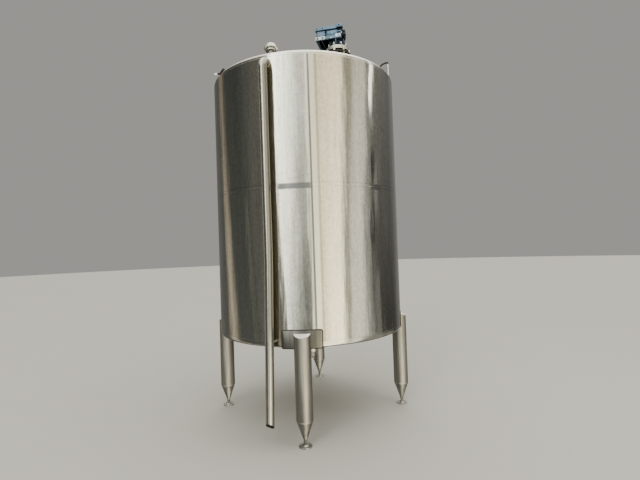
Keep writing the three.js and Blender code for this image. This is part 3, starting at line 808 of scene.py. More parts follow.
def steel_finish(name, colour, rough, fineness, dust=0.0, tint=None, painted_shade=0.0, lines=0.35):
    """Satin steel for tubes, flanges, bolts and heads."""
    material, tree, shader, place = start_material(name)
    shader.inputs["Metallic"].default_value = 1.0
    streaks = use_group(tree, "Upright streaks", place, Fineness=fineness)
    smears = use_group(tree, "Smears", place, Scale=5.0)
    shown = mix_colour(tree, smears["Clouds"], colour, shade(colour, 0.86))
    shown = laid_over(tree, shown, remap(tree, streaks["Bands"], 0.4, 0.68), lines, shade(colour, 0.5))
    if tint:
        shown = laid_over(tree, shown, smears["Smears"], 0.6, tint)
    if dust:
        shown, powder = covered(tree, shown, "Dust", place, (0.45, 0.43, 0.39), Amount=dust)
        link(tree, remap(tree, powder, 0.0, 1.0, 1.0, 0.35), shader.inputs["Metallic"])
    # Painted shade: near-black laid in crevices and on what faces down.
    if painted_shade:
        shown, _ = covered(tree, shown, "Painted shade", place, (0.012, 0.011, 0.010), Reach=0.016, Amount=painted_shade)
    roughness = remap(tree, streaks["Bands"], 0.3, 0.75, rough, rough + 0.10)
    set_surface(tree, shader, shown, roughness, streaks["Fine"], 0.00006)
    return material


def pipe_finish():
    """Satin pipe, with a painted highlight along its left, painted shade at its right, and painted shade
    where it faces the shell.
    """
    finish = bpy.context.scene.tank_finish
    material, tree, shader, place = start_material("Pipe steel")
    streaks = use_group(tree, "Upright streaks", place, Fineness=1.6)
    smears = use_group(tree, "Smears", place, Scale=5.0)
    shown = mix_colour(tree, smears["Clouds"], finish.fitting, shade(finish.fitting, 0.84))
    stripes = remap(tree, streaks["Bands"], 0.4, 0.66)
    shown = laid_over(tree, shown, stripes, 0.5, shade(finish.steel_warm, 0.6))
    x, y, height = split(tree, place)
    facing = surface_normal(tree)
    outwards = plus(tree, times(tree, facing[0], x), times(tree, facing[1], y))
    sideways = along_bearing(tree, facing[0], facing[1], OVERFLOW_BEARING)
    by_shell = remap(tree, height, 0.70, 1.00)
    # Painted shade on the pipe's right side, above its lowest part.
    right_shade = remap(tree, sideways, 0.15, 0.50, 0.0, 0.80)
    shown = laid_over(tree, shown, right_shade, by_shell, (0.16, 0.155, 0.14))
    # Painted shade where the pipe faces the shell and in the occlusion near it.
    crevices = use_group(tree, "Painted shade", place, Reach=0.11, Amount=0.9)["Mask"]
    back = larger(tree, remap(tree, outwards, -0.30, 0.20, 1.0, 0.0), crevices)
    shown = laid_over(tree, shown, back, 0.9, (0.11, 0.10, 0.085))
    # A painted highlight along the pipe's left side, made less metallic so that it stays bright.
    edge = times(tree, remap(tree, sideways, -0.85, -0.55, 1.0, 0.0), remap(tree, outwards, -0.60, -0.40))
    shown = laid_over(tree, shown, edge, by_shell, (0.42, 0.41, 0.38))
    link(tree, remap(tree, edge, 0.0, 1.0, 1.0, 0.25), shader.inputs["Metallic"])
    roughness = remap(tree, back, 0.0, 1.0, 0.25, 0.55)
    set_surface(tree, shader, shown, roughness, streaks["Fine"], 0.00006)
    return material


def weld_finish():
    """A weld bead with fine ripples and a brown and blue heat tint."""
    material, tree, shader, place = start_material("Weld steel")
    shader.inputs["Metallic"].default_value = 1.0
    smears = use_group(tree, "Smears", place, Scale=14.0)
    shown = mix_colour(tree, smears["Clouds"], (0.60, 0.58, 0.53), (0.42, 0.39, 0.35))
    shown = laid_over(tree, shown, smears["Smears"], 0.4, (0.30, 0.33, 0.38))
    roughness = remap(tree, smears["Clouds"], 0.0, 1.0, 0.3, 0.5)
    set_surface(tree, shader, shown, roughness, even_noise(tree, place, 160.0, 2.0), 0.0006)
    return material


def paint_finish(name, colour, dust=0.3, gloss=0.5):
    """Semi-gloss paint on rough castings, with chipped edges, dust on top, and painted shade in crevices and
    below.
    """
    finish = bpy.context.scene.tank_finish
    material, tree, shader, place = start_material(name)
    shader.inputs["Specular IOR Level"].default_value = gloss
    smears = use_group(tree, "Smears", place, Scale=9.0)
    shown = mix_colour(tree, smears["Clouds"], colour, shade(colour, 0.72))
    shown, powder = covered(tree, shown, "Dust", place, (0.40, 0.44, 0.47), Amount=dust)
    bare = shade((0.40, 0.45, 0.49), 2 * gloss)
    shown, _ = covered(tree, shown, "Worn edges", place, bare, Radius=0.0022, Amount=finish.wear)
    # Painted shade: a near-black blue in crevices and on what faces down.
    dark = (0.004, 0.007, 0.012)
    shown, painted_shade = covered(tree, shown, "Painted shade", place, dark, Reach=0.034, Amount=finish.painted_shade)
    roughness = plus(tree, remap(tree, powder, 0.0, 1.0, 0.32, 0.75), times(tree, painted_shade, 0.25))
    set_surface(tree, shader, shown, roughness, even_noise(tree, place, 260.0, 3.0, 0.6), 0.0005)
    return material


def dull_finish(name, colour, rough, dust=0.4, gloss=0.5):
    """Moulded plastic, rubber and dark steel, and the flat colours of painted shade and painted highlights,
    with a fine grain and a little dust.
    """
    material, tree, shader, place = start_material(name)
    shader.inputs["Specular IOR Level"].default_value = gloss
    smears = use_group(tree, "Smears", place, Scale=12.0)
    shown = mix_colour(tree, smears["Clouds"], colour, shade(colour, 1.5))
    shown, powder = covered(tree, shown, "Dust", place, (0.30, 0.29, 0.27), Amount=dust)
    roughness = remap(tree, powder, 0.0, 1.0, rough, 0.9)
    set_surface(tree, shader, shown, roughness, even_noise(tree, place, 500.0, 2.0), 0.0003)
    return material


def finish_named(name):
    """A finish by its name, made when it is first used."""
    found = bpy.data.materials.get(name)
    if found:
        return found
    finish = bpy.context.scene.tank_finish
    steels = {
        "Head steel": dict(colour=shade(finish.steel, 1.15), rough=0.13, fineness=0.5, dust=0.1),
        "Leg steel": dict(colour=shade(finish.fitting, 0.69), rough=0.44, fineness=2.4, dust=0.4, lines=1.0),
        "Doubler steel": dict(colour=shade(finish.steel, 0.27), rough=0.30, fineness=2.0, lines=0.8),
        "Plate steel": dict(colour=shade(finish.fitting, 1.2), rough=0.42, fineness=1.5, dust=0.6,
                            tint=(0.36, 0.30, 0.26), painted_shade=0.9),
        "Bolt steel": dict(colour=shade(finish.fitting, 1.35), rough=0.26, fineness=3.0, painted_shade=0.85),
        "Cap steel": dict(colour=shade(finish.fitting, 0.85), rough=0.12, fineness=2.0),
        "Thread steel": dict(colour=shade(finish.fitting, 0.35), rough=0.4, fineness=3.0,
                             tint=(0.14, 0.10, 0.07)),
    }
    paints = {
        "Blue paint": dict(colour=finish.paint),
        # A painted highlight: pale blue for the pads that catch the light.
        "Pale paint": dict(colour=(0.50, 0.61, 0.70)),
        # Painted shade: the blue darkened nearly to black, for the bell and the end and side plates.
        "Deep paint": dict(colour=shade(finish.paint, 0.09), dust=0.0, gloss=0.10),
        # Painted shade: the ribs' blue darkened, less than the bell's.
        "Rib paint": dict(colour=shade(finish.paint, 0.38), dust=0.05, gloss=0.2),
        "Motor paint": dict(colour=shade(finish.paint, 0.75)),
    }
    dull_ones = {
        # A painted highlight: the leg caps' pale colour, as the light from above that they mirror.
        "Ground cap steel": dict(colour=(0.62, 0.60, 0.55), rough=0.45, dust=0.1),
        "Edge steel": dict(colour=(0.030, 0.028, 0.025), rough=0.5, dust=0.0, gloss=0.2),
        # Painted shade: steel darkened to near black, under the drive plate, inside the overflow's mouth, and
        # on the lug's arm and the hook.
        "Dark flange steel": dict(colour=(0.024, 0.018, 0.014), rough=0.5, dust=0.03, gloss=0.10),
        # Black for the socket screws, and painted shade in the pads' holes.
        "Black screws": dict(colour=(0.004, 0.005, 0.007), rough=0.4, dust=0.0, gloss=0.08),
        "Black plastic": dict(colour=finish.plastic, rough=0.5),
        # A painted highlight: the hook's tip near white, as the light that its rounded end mirrors.
        "White sleeve": dict(colour=(0.78, 0.78, 0.76), rough=0.4),
        "Seal rubber": dict(colour=shade(finish.plastic, 0.7), rough=0.72),
    }
    for maker, recipes in ((steel_finish, steels), (paint_finish, paints), (dull_finish, dull_ones)):
        if name in recipes:
            return maker(name, **recipes[name])
    return {"Vessel steel": shell_finish, "Pipe steel": pipe_finish, "Weld steel": weld_finish}[name]()


# The vessel

def shell_sides():
    """How many flat sides make the round shell."""
    return bpy.context.scene.tank_sizes.shell_sides


def head_line(tangent, slope, wall=0.0):
    """A head's skin in a profile, from its flange to near the axis. It is the outer one, or a wall inside."""
    edge = bpy.context.scene.tank_sizes.shell_radius
    quarter = math.copysign(90, slope)
    points = arc((edge - KNUCKLE, tangent), KNUCKLE - wall, 0, quarter - slope, 8)
    last_radius, last_height = points[-1]
    rise = math.tan(math.radians(slope))
    return points + [(r, last_height + (last_radius - r) * rise) for r in (0.8, 0.6, 0.4, 0.2, 0.004)]


def head(tangent, slope, flange_height):
    """A pressed head: an outer and an inner skin that meet at the flange."""
    edge = bpy.context.scene.tank_sizes.shell_radius
    outside = [(edge, flange_height), *head_line(tangent, slope)]
    inside = [(edge - SHEET, flange_height), *head_line(tangent, slope, SHEET)]
    middle = [(0.001, outside[-1][1]), (0.001, inside[-1][1])]
    return hollow(outside + middle + inside[::-1], shell_sides())


class TANK_OT_shell(bpy.types.Operator):
    """Models the two shell courses, the roof and bottom heads and their welds"""
    bl_idname = "tank.shell"
    bl_label = "Shell and heads"

    def execute(self, context):
        sizes = context.scene.tank_sizes
        outer, inner, bore_radius = sizes.shell_radius, sizes.shell_radius - SHEET, sizes.overflow_radius
        for course, low, high in (("lower", BOTTOM_WELD, GIRTH_WELD), ("upper", GIRTH_WELD, ROOF_WELD)):
            wall = hollow([(outer, low), (outer, (low + high) / 2), (outer, high), (inner, high),
                           (inner, low)], sizes.shell_sides)
            if course == "upper":
                entry = put(rod(bore_radius, -0.05, 0.05, 48), (0, -outer, OVERFLOW_ENTRY), (90, 0, 0))
                carve(wall, at_bearing(entry, OVERFLOW_BEARING))
            nodes = [f"shell_{course}_{side}" for side in SIDES]
            dress(wall, f"{course}_course", "Vessel steel", "shell_steel", *nodes)
        roof = head(ROOF_TANGENT, ROOF_SLOPE, ROOF_WELD)
        dress(roof, "roof_head", "Head steel", "shell_steel", "roof", angle=50)
        bottom = head(BOTTOM_TANGENT, BOTTOM_SLOPE, BOTTOM_WELD)
        dress(bottom, "bottom_head_dished", "Head steel", "shell_steel", "bottom_head", angle=50)
        dress(self.welds(outer, sizes.weld_width), "shell_welds", "Vessel steel", "shell_steel", angle=80)
        return {"FINISHED"}

    def welds(self, outer, width):
        """The girth weld, the weld of each head and the upright seams, as low beads."""
        beads = []
        for height, half, proud in ((GIRTH_WELD, width / 2, 0.0003), (ROOF_WELD, width / 3, 0.0002),
                                    (BOTTOM_WELD, width / 3, 0.0003)):
            beads.append(hollow([(outer - 0.001, height - half), (outer + proud * 0.7, height - half * 0.6),
                                 (outer + proud, height), (outer + proud * 0.7, height + half * 0.6),
                                 (outer - 0.001, height + half)], shell_sides()))
        for bearing in SEAM_BEARINGS:
            seam = block((-0.0016, -outer - 0.0006, BOTTOM_WELD), (0.0016, -outer + 0.002, ROOF_WELD), 0.0005)
            beads.append(at_bearing(seam, bearing))
        return joined(*beads)


class TANK_OT_legs(bpy.types.Operator):
    """Models the four legs with their doubling plates, welds and levelling feet"""
    bl_idname = "tank.legs"
    bl_label = "Legs"

    def execute(self, context):
        sizes = context.scene.tank_sizes
        tube, cap, tube_weld = self.leg(sizes.leg_radius, sizes.leg_circle)
        plate = self.doubler(
            inner=0.9003, outer=DOUBLER_FACE, half_width=0.162, low=0.791, high=0.931, corner=0.012)
        plate_weld = self.doubler(
            inner=0.9001, outer=0.9036, half_width=0.171, low=0.782, high=0.940, corner=0.018)
        patterns = (
            (plate, "doubler", "Doubler steel", "shell_steel", 35, "leg_doubler_"),
            (plate_weld, "doubler_weld", "Edge steel", "shell_steel", 35),
            (tube, "leg_tube", "Leg steel", "shell_steel", 35, "leg_"),
            # The leg cap is pale as a painted highlight.
            (cap, "leg_cap", "Ground cap steel", "shell_steel", 35),
            (tube_weld, "leg_welds", "Weld steel", "shell_steel", 80),
            (self.foot(sizes.leg_circle), "levelling_pad", "Leg steel", "fitting_steel", 35, "foot_"),
            (self.thread(sizes.leg_circle), "levelling_thread", "Thread steel", "fitting_steel", 35),
        )
        for i, side in enumerate(SIDES):
            for pattern, name, finish, slot, angle, *nodes in patterns:
                piece = copied(pattern, turn=(0, 0, LEG_BEARING + 90 * i))
                dress(piece, f"{name}_{side}", finish, slot, *(node + side for node in nodes), angle=angle)
        remove(*(row[0] for row in patterns))
        return {"FINISHED"}

    def doubler(self, inner, outer, half_width, low, high, corner):
        """A curved plate at the front, with rounded corners and edges."""
        plate = hollow([(outer, low), (outer, high), (inner, high), (inner, low)], shell_sides())
        slice_off(plate, (half_width, 0, 0), (1, 0, 0))
        slice_off(plate, (-half_width, 0, 0), (-1, 0, 0))
        slice_off(plate, (0, 0, 0), (0, 1, 0))

        def at_corner(a, b):
            at_side = min(abs(a.x), abs(b.x)) > half_width - 0.001
            at_end = abs(a.z - b.z) < 0.0001 and min(abs(a.z - low), abs(a.z - high)) < 0.0005
            return at_side and at_end

        bevel_edges(plate, at_corner, corner, 5)
        return bevel(plate, 0.0012)

    def leg(self, radius, circle):
        """A tube with a cone below and a flat sloping cap, cut to the vessel, and its weld ring."""
        tube = turned([(0.015, 0.055), (radius - 0.002, CONE_WELD - 0.0040),
                       (radius - 0.0008, CONE_WELD - 0.0025), (radius - 0.0008, CONE_WELD + 0.0025),
                       (radius, CONE_WELD + 0.0037), (radius, 0.55), (radius, 0.95)], 64)
        put(tube, (0, -circle, 0))
        slope = math.radians(LEG_CAP_SLOPE)
        upwards = (0, -math.sin(slope), math.cos(slope))
        under_cap = (0, -DOUBLER_FACE, LEG_TOP - LEG_CAP_SHEET)
        slice_off(tube, (0, -DOUBLER_FACE, LEG_TOP), upwards)
        cap = slice_off(copied(tube), under_cap, [-part for part in upwards])
        slice_off(tube, under_cap, upwards)
        bevel(cap, 0.0014, 40)
        vessel = turned([(0.9055, 3.0), (0.9055, 0.7895), (0.8785, 0.7895), (0.4, 0.7222), (0.02, 0.6690)],
                        shell_sides())
        carve(cap, copied(vessel))
        carve(tube, vessel)
        weld = hollow([(radius - 0.0012, CONE_WELD - 0.0035), (radius - 0.0004, CONE_WELD - 0.0025),
                       (radius - 0.0001, CONE_WELD), (radius - 0.0004, CONE_WELD + 0.0025),
                       (radius - 0.0012, CONE_WELD + 0.0035)], 64)
        return tube, cap, put(weld, (0, -circle, 0))

    def foot(self, circle):
        """A round pad like a shallow dish, with a boss in its middle."""
        pad = turned([(0.050, 0.0), (0.053, 0.003), (0.053, 0.0085), (0.0515, 0.0105), (0.0455, 0.0105),
                      (0.0435, 0.0085), (0.0275, 0.0095), (0.0240, 0.0125), (0.0215, 0.0185),
                      (0.0185, 0.0205), (0.0112, 0.0205), (0.0105, 0.0190)])
        return put(pad, (0, -circle, 0))

    def thread(self, circle):
        """A threaded spindle as stacked ridges, with a lock nut under the leg."""
        ridges = [(0.0088, 0.0185)]
        for i in range(12):
            height = 0.0190 + 0.003 * i
            ridges += [(0.0088, height), (0.0099, height + 0.0015)]
        ridges += [(0.0088, 0.0552), (0.0080, 0.0552)]
        return put(joined(turned(ridges, 24), hexagon(0.0165, 0.0395, 0.0500)), (0, -circle, 0))


class TANK_OT_overflow(bpy.types.Operator):
    """Models the overflow elbow, its straight pipe with a mitred end, and the bracket"""
    bl_idname = "tank.overflow"
    bl_label = "Overflow pipe"

    def execute(self, context):
        sizes = context.scene.tank_sizes
        radius, circle = sizes.overflow_radius, sizes.overflow_circle
        for piece, name, finish, slot, angle, *nodes in (
                (self.elbow(radius, circle, sizes.shell_radius), "overflow_bend", "Pipe steel",
                 "shell_steel", 60, "overflow_elbow"),
                (self.pipe(radius, circle, OVERFLOW_WALL), "overflow_downpipe", "Pipe steel",
                 "shell_steel", 60, "overflow_pipe"),
                # A near-black lining inside the pipe: painted shade in its mouth.
                (self.pipe(radius - OVERFLOW_WALL - 0.0001, circle, 0.0004), "overflow_stained_inside",
                 "Dark flange steel", "shell_steel", 60),
                (self.welds(radius, circle), "overflow_welds", "Weld steel", "shell_steel", 80),
                (self.strap(radius, circle), "overflow_strap", "Leg steel", "fitting_steel", 35,
                 "overflow_bracket")):
            dress(at_bearing(piece, OVERFLOW_BEARING), name, finish, slot, *nodes, angle=angle)
        return {"FINISHED"}

    def elbow(self, radius, circle, shell):
        """A quarter bend from the upright pipe into the shell, spun from a circle."""
        piece = round_outline(radius, (0, -circle, OVERFLOW_BEND), 40)
        edit_all(piece)
        bpy.ops.mesh.spin(steps=14, angle=math.pi / 2, center=(0, -shell, OVERFLOW_BEND), axis=(1, 0, 0))
        bpy.ops.mesh.extrude_region_move(TRANSFORM_OT_translate={"value": (0, 0.02, 0)})
        end_edit(piece)
        return thicken(mend(piece), OVERFLOW_WALL)

    def pipe(self, radius, circle, wall):
        """A straight pipe, which leans a little below its middle and ends in a mitre."""
        height, side = OVERFLOW_BEND - 0.0003, 0.0
        piece = round_outline(radius, (0, -circle, height), 40)
        edit_all(piece)
        for next_height, leaning in ((2.4, 0), (1.8, 0), (1.6, 0), (1.55, 0.025), (1.5, 0.025),
                                     (1.45, 0.0625), (1.4, 0.1), (0.9, 0.6), (0.5, 1.0), (0.1, 1.4)):
            next_side = -leaning * OVERFLOW_LEAN
            move = (next_side - side, 0, next_height - height)
            bpy.ops.mesh.extrude_region_move(TRANSFORM_OT_translate={"value": move})
            height, side = next_height, next_side
        bpy.ops.mesh.select_all(action="SELECT")
        slope = math.radians(OVERFLOW_MITRE)
        bpy.ops.mesh.bisect(plane_co=(0, -circle, OVERFLOW_END),
                            plane_no=(0, -math.sin(slope), -math.cos(slope)), clear_outer=True)
        end_edit(piece)
        return thicken(mend(piece), wall)

    def welds(self, radius, circle):
        """Weld rings where the bend meets the pipe and the shell."""
        joint = hoop(radius - 0.0009, 0.0010, (0, -circle, OVERFLOW_BEND - 0.0002))
        return joined(joint, hoop(radius + 0.001, 0.0028, (0, -0.9000, OVERFLOW_ENTRY), (90, 0, 0)))

    def strap(self, radius, circle):
        """A flat strap from the shell to the pipe, hollowed to the pipe, with a weld on the shell."""
        plate = block((-0.013, -circle, BRACKET_HEIGHT - 0.004), (0.011, -0.9006, BRACKET_HEIGHT + 0.004),
                      0.0012)
        middle = -(OVERFLOW_LEAN_START - BRACKET_HEIGHT) * OVERFLOW_LEAN
        carve(plate, put(rod(radius + 0.0003, 0.80, 0.88, 40), (middle, -circle, 0)))
        weld = block((-0.016, -0.9045, BRACKET_HEIGHT - 0.0065), (0.014, -0.9006, BRACKET_HEIGHT + 0.0065),
                     0.0018)
        return joined(plate, weld)


# The stirrer drive

def roof_collar(radius, place, width=0.007):
    """A weld round a nozzle that follows the roof's slope."""
    x, y = place
    ring = hollow([(radius - 0.001, 3.17), (radius + width, 3.17), (radius + width, 3.45),
                   (radius - 0.001, 3.45)])
    put(ring, (x, y, 0))
    skin = [(r, z + width * 0.8) for r, z in head_line(ROOF_TANGENT, ROOF_SLOPE)]
    carve(ring, turned([(0.9, 3.0), *skin], 96), operation="INTERSECT")
    reach = math.hypot(x, y) + radius + width
    low = ROOF_APEX - reach * math.tan(math.radians(ROOF_SLOPE)) - 0.03
    slice_off(ring, (0, 0, low), (0, 0, -1))
    return bevel(ring, 0.002)


class TANK_OT_drive_mount(bpy.types.Operator):
    """Models the drive's nozzle, seal and flanges with their studs and nuts"""
    bl_idname = "tank.drive_mount"
    bl_label = "Drive mount"

    def execute(self, context):
        nozzle = hollow([(NOZZLE_RADIUS, 3.276), (NOZZLE_RADIUS, 3.4250), (0.087, 3.4325), (0.1235, 3.4330),
                         (0.125, 3.4345), (0.125, 3.4475), (0.1235, 3.4490), (0.080, 3.4490),
                         (0.080, 3.276)], 64)
        # The drive's neck is near black as painted shade under the plate.
        dress(on_drive(nozzle), "drive_neck", "Dark flange steel", "shell_steel", "drive_nozzle")
        dress(roof_collar(NOZZLE_RADIUS, DRIVE_PLACE), "drive_neck_weld", "Weld steel", "shell_steel")
        seal = turned([(0.086, 3.4493), (0.087, 3.4505), (0.087, 3.4700), (0.086, 3.4713)])
        dress(on_drive(seal), "drive_seal_ring", "Seal rubber", "seal_rubber", "drive_seal")
        plate = turned([(0.1040, 3.4716), (0.1060, 3.4736), (0.1060, 3.4840), (0.1048, 3.4848),
                        (0.1048, 3.4866), (0.1060, 3.4874), (0.1060, 3.5036), (0.1040, 3.5056),
                        (0.1020, 3.5056), (0.1010, 3.5048), (0.1002, 3.5056)], 64)
        dress(on_drive(plate), "drive_plate", "Plate steel", "fitting_steel", "drive_flange")
        stud = turned([(0.0052, 3.4195), (0.006, 3.4205), (0.006, 3.4775), (0.0052, 3.4785)], 16)
        upper = hexagon(0.0112, 3.4502, 3.4604)
        lower = put(hexagon(0.0112, 0, 0.0102), (0, 0, 3.4328), (180, 0, 0))
        washer = turned([(0.0118, 3.4490), (0.0118, 3.4500), (0.0112, 3.4504)], 20)
        fastener = put(joined(stud, upper, lower, washer), (STUD_CIRCLE, 0, 0))
        studs = ring_of(fastener, 8, FIRST_STUD)
        dress(on_drive(studs), "drive_studs", "Bolt steel", "fitting_steel")
        return {"FINISHED"}


class TANK_OT_gear_unit(bpy.types.Operator):
    """Models the blue gear foot, the gear case and its end cover"""
    bl_idname = "tank.gear_unit"
    bl_label = "Gear unit"

    def execute(self, context):
        # The bell, the end plate and the side plate take the blue darkened as painted shade.
        dress(on_drive(self.foot()), "gear_bell", "Deep paint", "blue_paint", "gear_foot")
        dress(on_drive(self.ribs()), "gear_bell_ribs", "Rib paint", "blue_paint")
        dress(on_drive(self.case()), "gear_housing", "Blue paint", "blue_paint", "gear_case", angle=40)
        dress(on_drive(self.pads()), "gear_pads", "Pale paint", "blue_paint")
        dress(on_drive(self.cover()), "gear_end_plate", "Deep paint", "blue_paint", "gear_end_cover")
        # A thin plate on the case's right side that carries painted shade.
        side = block((0.0530, -0.0737, 3.5830), (CASE_END, 0.0965, 3.7010), 0.002)
        dress(on_drive(side), "gear_side_shade_plate", "Deep paint", "blue_paint")
        dress(on_drive(self.screws()), "gear_screws_and_hole_shade", "Black screws", "fitting_steel")
        dress(on_drive(self.foot_bolts()), "gear_foot_bolts", "Bolt steel", "fitting_steel")
        return {"FINISHED"}

    def foot(self):
        """A bell between the flange and the case."""
        return turned([(0.0985, 3.5059), (0.100, 3.5074), (0.100, 3.5165), (0.0985, 3.5180), (0.080, 3.5185),
                       (0.067, 3.5225), (0.0615, 3.5290), (0.060, 3.5380), (0.060, 3.5680),
                       (0.066, 3.5745), (0.072, 3.5770), (0.072, 3.5809)], 64)

    def ribs(self):
        """Six tall ribs round the bell, and six short ones between them."""
        rib = block((-0.005, 0.040, 3.507), (0.005, 0.082, 3.5808), 0.0015)
        slice_off(rib, (0, 0.0965, 3.5150), (0, 0.96, 0.28))
        short = block((-0.004, 0.040, 3.507), (0.004, 0.078, 3.5650), 0.0012)
        slice_off(short, (0, 0.0860, 3.5150), (0, 0.90, 0.44))
        return joined(ring_of(rib, 6), ring_of(short, 6, first=30))

    def case(self):
        """The gear case: a core between two strips, with a rounded cover, recesses, ribs and a corner lug."""
        core = block((-0.188, -0.073, CASE_BASE), (0.058, 0.097, CASE_TOP), 0.004, 3)
        carve(core, block((0.014, -0.080, 3.6270), (0.049, -0.052, 3.6440), 0.002),
              block((0.012, -0.080, 3.6520), (0.0570, -0.048, 3.6790), 0.001),
              block((-0.183, -0.080, 3.6625), (0.012, -0.052, 3.6745), 0.001),
              block((-0.1035, -0.080, 3.6180), (-0.0880, -0.0655, 3.6640), 0.002))
        lower = block((-0.198, -0.083, CASE_BASE), (0.046, 0.097, CASE_BASE + 0.030), 0.003)
        carve(lower, block((-0.098, -0.090, 3.6035), (-0.006, -0.074, 3.620), 0.002),
              block((-0.096, -0.090, 3.570), (-0.050, -0.077, 3.5860), 0.002))
        upper = block((-0.198, -0.083, CASE_TOP - 0.030), (0.046, 0.097, CASE_TOP), 0.003)
        carve(upper, row_of(bore(0.0058, 0.010, 0.004), [(x, -0.083, 3.690) for x in (-0.178, -0.125)]),
              block((0.012, -0.095, 3.6650), (0.0570, -0.050, 3.6790), 0.001))
        lug = block((0.008, -0.089, 3.6790), (0.068, -0.039, 3.7112), 0.005, 3)
        carve(lug, put(bore(0.0070, 0.014, 0.006, 24), (0.036, -0.089, 3.6960)))
        cover = block((-0.183, -0.081, 3.6150), (-0.104, -0.070, 3.6625), 0.0035, 3)
        bevel_edges(cover, self.runs_back, 0.020, 4)
        inset(cover, lambda middle, normal: normal.y < -0.9 and middle.y < -0.080, 0.008, 0.0015)
        panel = block((-0.084, -0.0775, 3.6240), (0.008, -0.071, 3.6610), 0.0025)
        ribs = [block((x, -0.070, 3.5770), (x + 0.006, 0.085, 3.5830), 0.001)
                for x in (-0.176, -0.140, 0.030)]
        side_pads = [block((-0.1915, y, 3.6170), (-0.186, y + 0.045, 3.6680), 0.002)
                     for y in (-0.050, 0.030)]
        top_cover = block((-0.172, -0.058, CASE_TOP - 0.002), (-0.020, 0.072, CASE_TOP + 0.005), 0.002)
        plug = put(hexagon(0.010, CASE_TOP + 0.004, CASE_TOP + 0.0135), (-0.060, 0.000, 0))
        return joined(core, lower, upper, lug, cover, panel, *ribs, *side_pads, top_cover, plug)

    def runs_back(self, a, b):
        """Whether an edge between two points runs from front to back."""
        return abs(a.x - b.x) < 1e-5 and abs(a.z - b.z) < 1e-5 and abs(a.y - b.y) > 0.002

    def pads(self):
        """The machined pads for fixing the case on its side, with their holes, pale as a painted highlight.
        """
        left = block((-0.1995, PAD_FACE, 3.5800), (-0.103, -0.076, 3.6130), 0.003, 3)
        right = block((-0.004, PAD_FACE, 3.5860), (0.048, -0.070, 3.6190), 0.004, 3)
        carve(left, row_of(bore(0.0085, 0.012, 0.004),
                           [(-0.176, PAD_FACE, 3.5945), (-0.127, PAD_FACE, 3.5950)]))
        carve(right, put(bore(0.0065, 0.012, 0.004), (0.032, PAD_FACE, 3.6010)))
        # A small bump and a corner chip, pale as painted highlights.
        small = block((-0.052, -0.0855, 3.5815), (-0.036, -0.079, 3.5945), 0.002)
        corner = block((0.0525, -0.0765, 3.6225), (0.0610, -0.066, 3.6350), 0.0025)
        return joined(left, right, small, corner)

    def cover(self):
        """A round end cover with a raised rim, bolts and a shaft boss."""
        disc = turned([(0.0490, 0.0), (0.050, 0.001), (0.050, 0.0165), (0.0485, 0.018), (0.042, 0.018),
                       (0.0405, 0.0155), (0.020, 0.0155), (0.0185, 0.0178)])
        heads = ring_of(put(hexagon(0.0052, 0.0155, 0.0200), (0.0455, 0, 0)), 6, first=30)
        put(joined(disc, heads), (CASE_END, 0.007, MOTOR_AXIS[2]), (0, 90, 0))
        boss = turned([(0.017, 0.0), (0.017, 0.022), (0.0155, 0.024), (0.0105, 0.024), (0.0105, 0.0350),
                       (0.0095, 0.036)], 24)
        return joined(disc, put(boss, (CASE_END, -0.049, 3.6152), (0, 90, 0)))

    def screws(self):
        """Dark socket screws at the corners of the cover, and near-black plugs in the pads' holes as painted
        shade.
        """
        socket = turned([(0.0075, 0.0), (0.0075, 0.0050), (0.0066, 0.0058), (0.0042, 0.0058),
                         (0.0038, 0.0020)], 18)
        # The plugs are painted shade: near-black discs that darken the holes.
        plug = turned([(0.0083, 0.0), (0.0083, 0.0012), (0.0045, 0.0018), (0.0035, 0.0006)], 18)
        small_hole_shade = turned([(0.0064, 0.0), (0.0064, 0.0012), (0.0035, 0.0018)], 18)
        places = (
            (socket, (-0.1875, -0.0730, 3.6650)), (socket, (-0.1810, -0.0730, 3.6245)),
            (socket, (-0.0960, -0.0655, 3.6270)), (socket, (-0.0960, -0.0655, 3.6540)),
            (plug, (-0.176, -0.0829, 3.5947)), (plug, (-0.127, -0.0829, 3.5947)),
            (small_hole_shade, (0.032, -0.0829, 3.6010)),
        )
        whole = [copied(pattern, place, (90, 0, 0)) for pattern, place in places]
        remove(socket, plug, small_hole_shade)
        return joined(*whole)

    def foot_bolts(self):
        """Nuts on studs through the bell's foot."""
        stud = turned([(0.0050, 3.5170), (0.0055, 3.5175), (0.0055, 3.5370), (0.0048, 3.5380)], 16)
        nut = hexagon(0.0098, 3.5183, 3.5278)
        return ring_of(put(joined(stud, nut), (FOOT_BOLT_CIRCLE, 0, 0)), 8, FIRST_FOOT_BOLT)


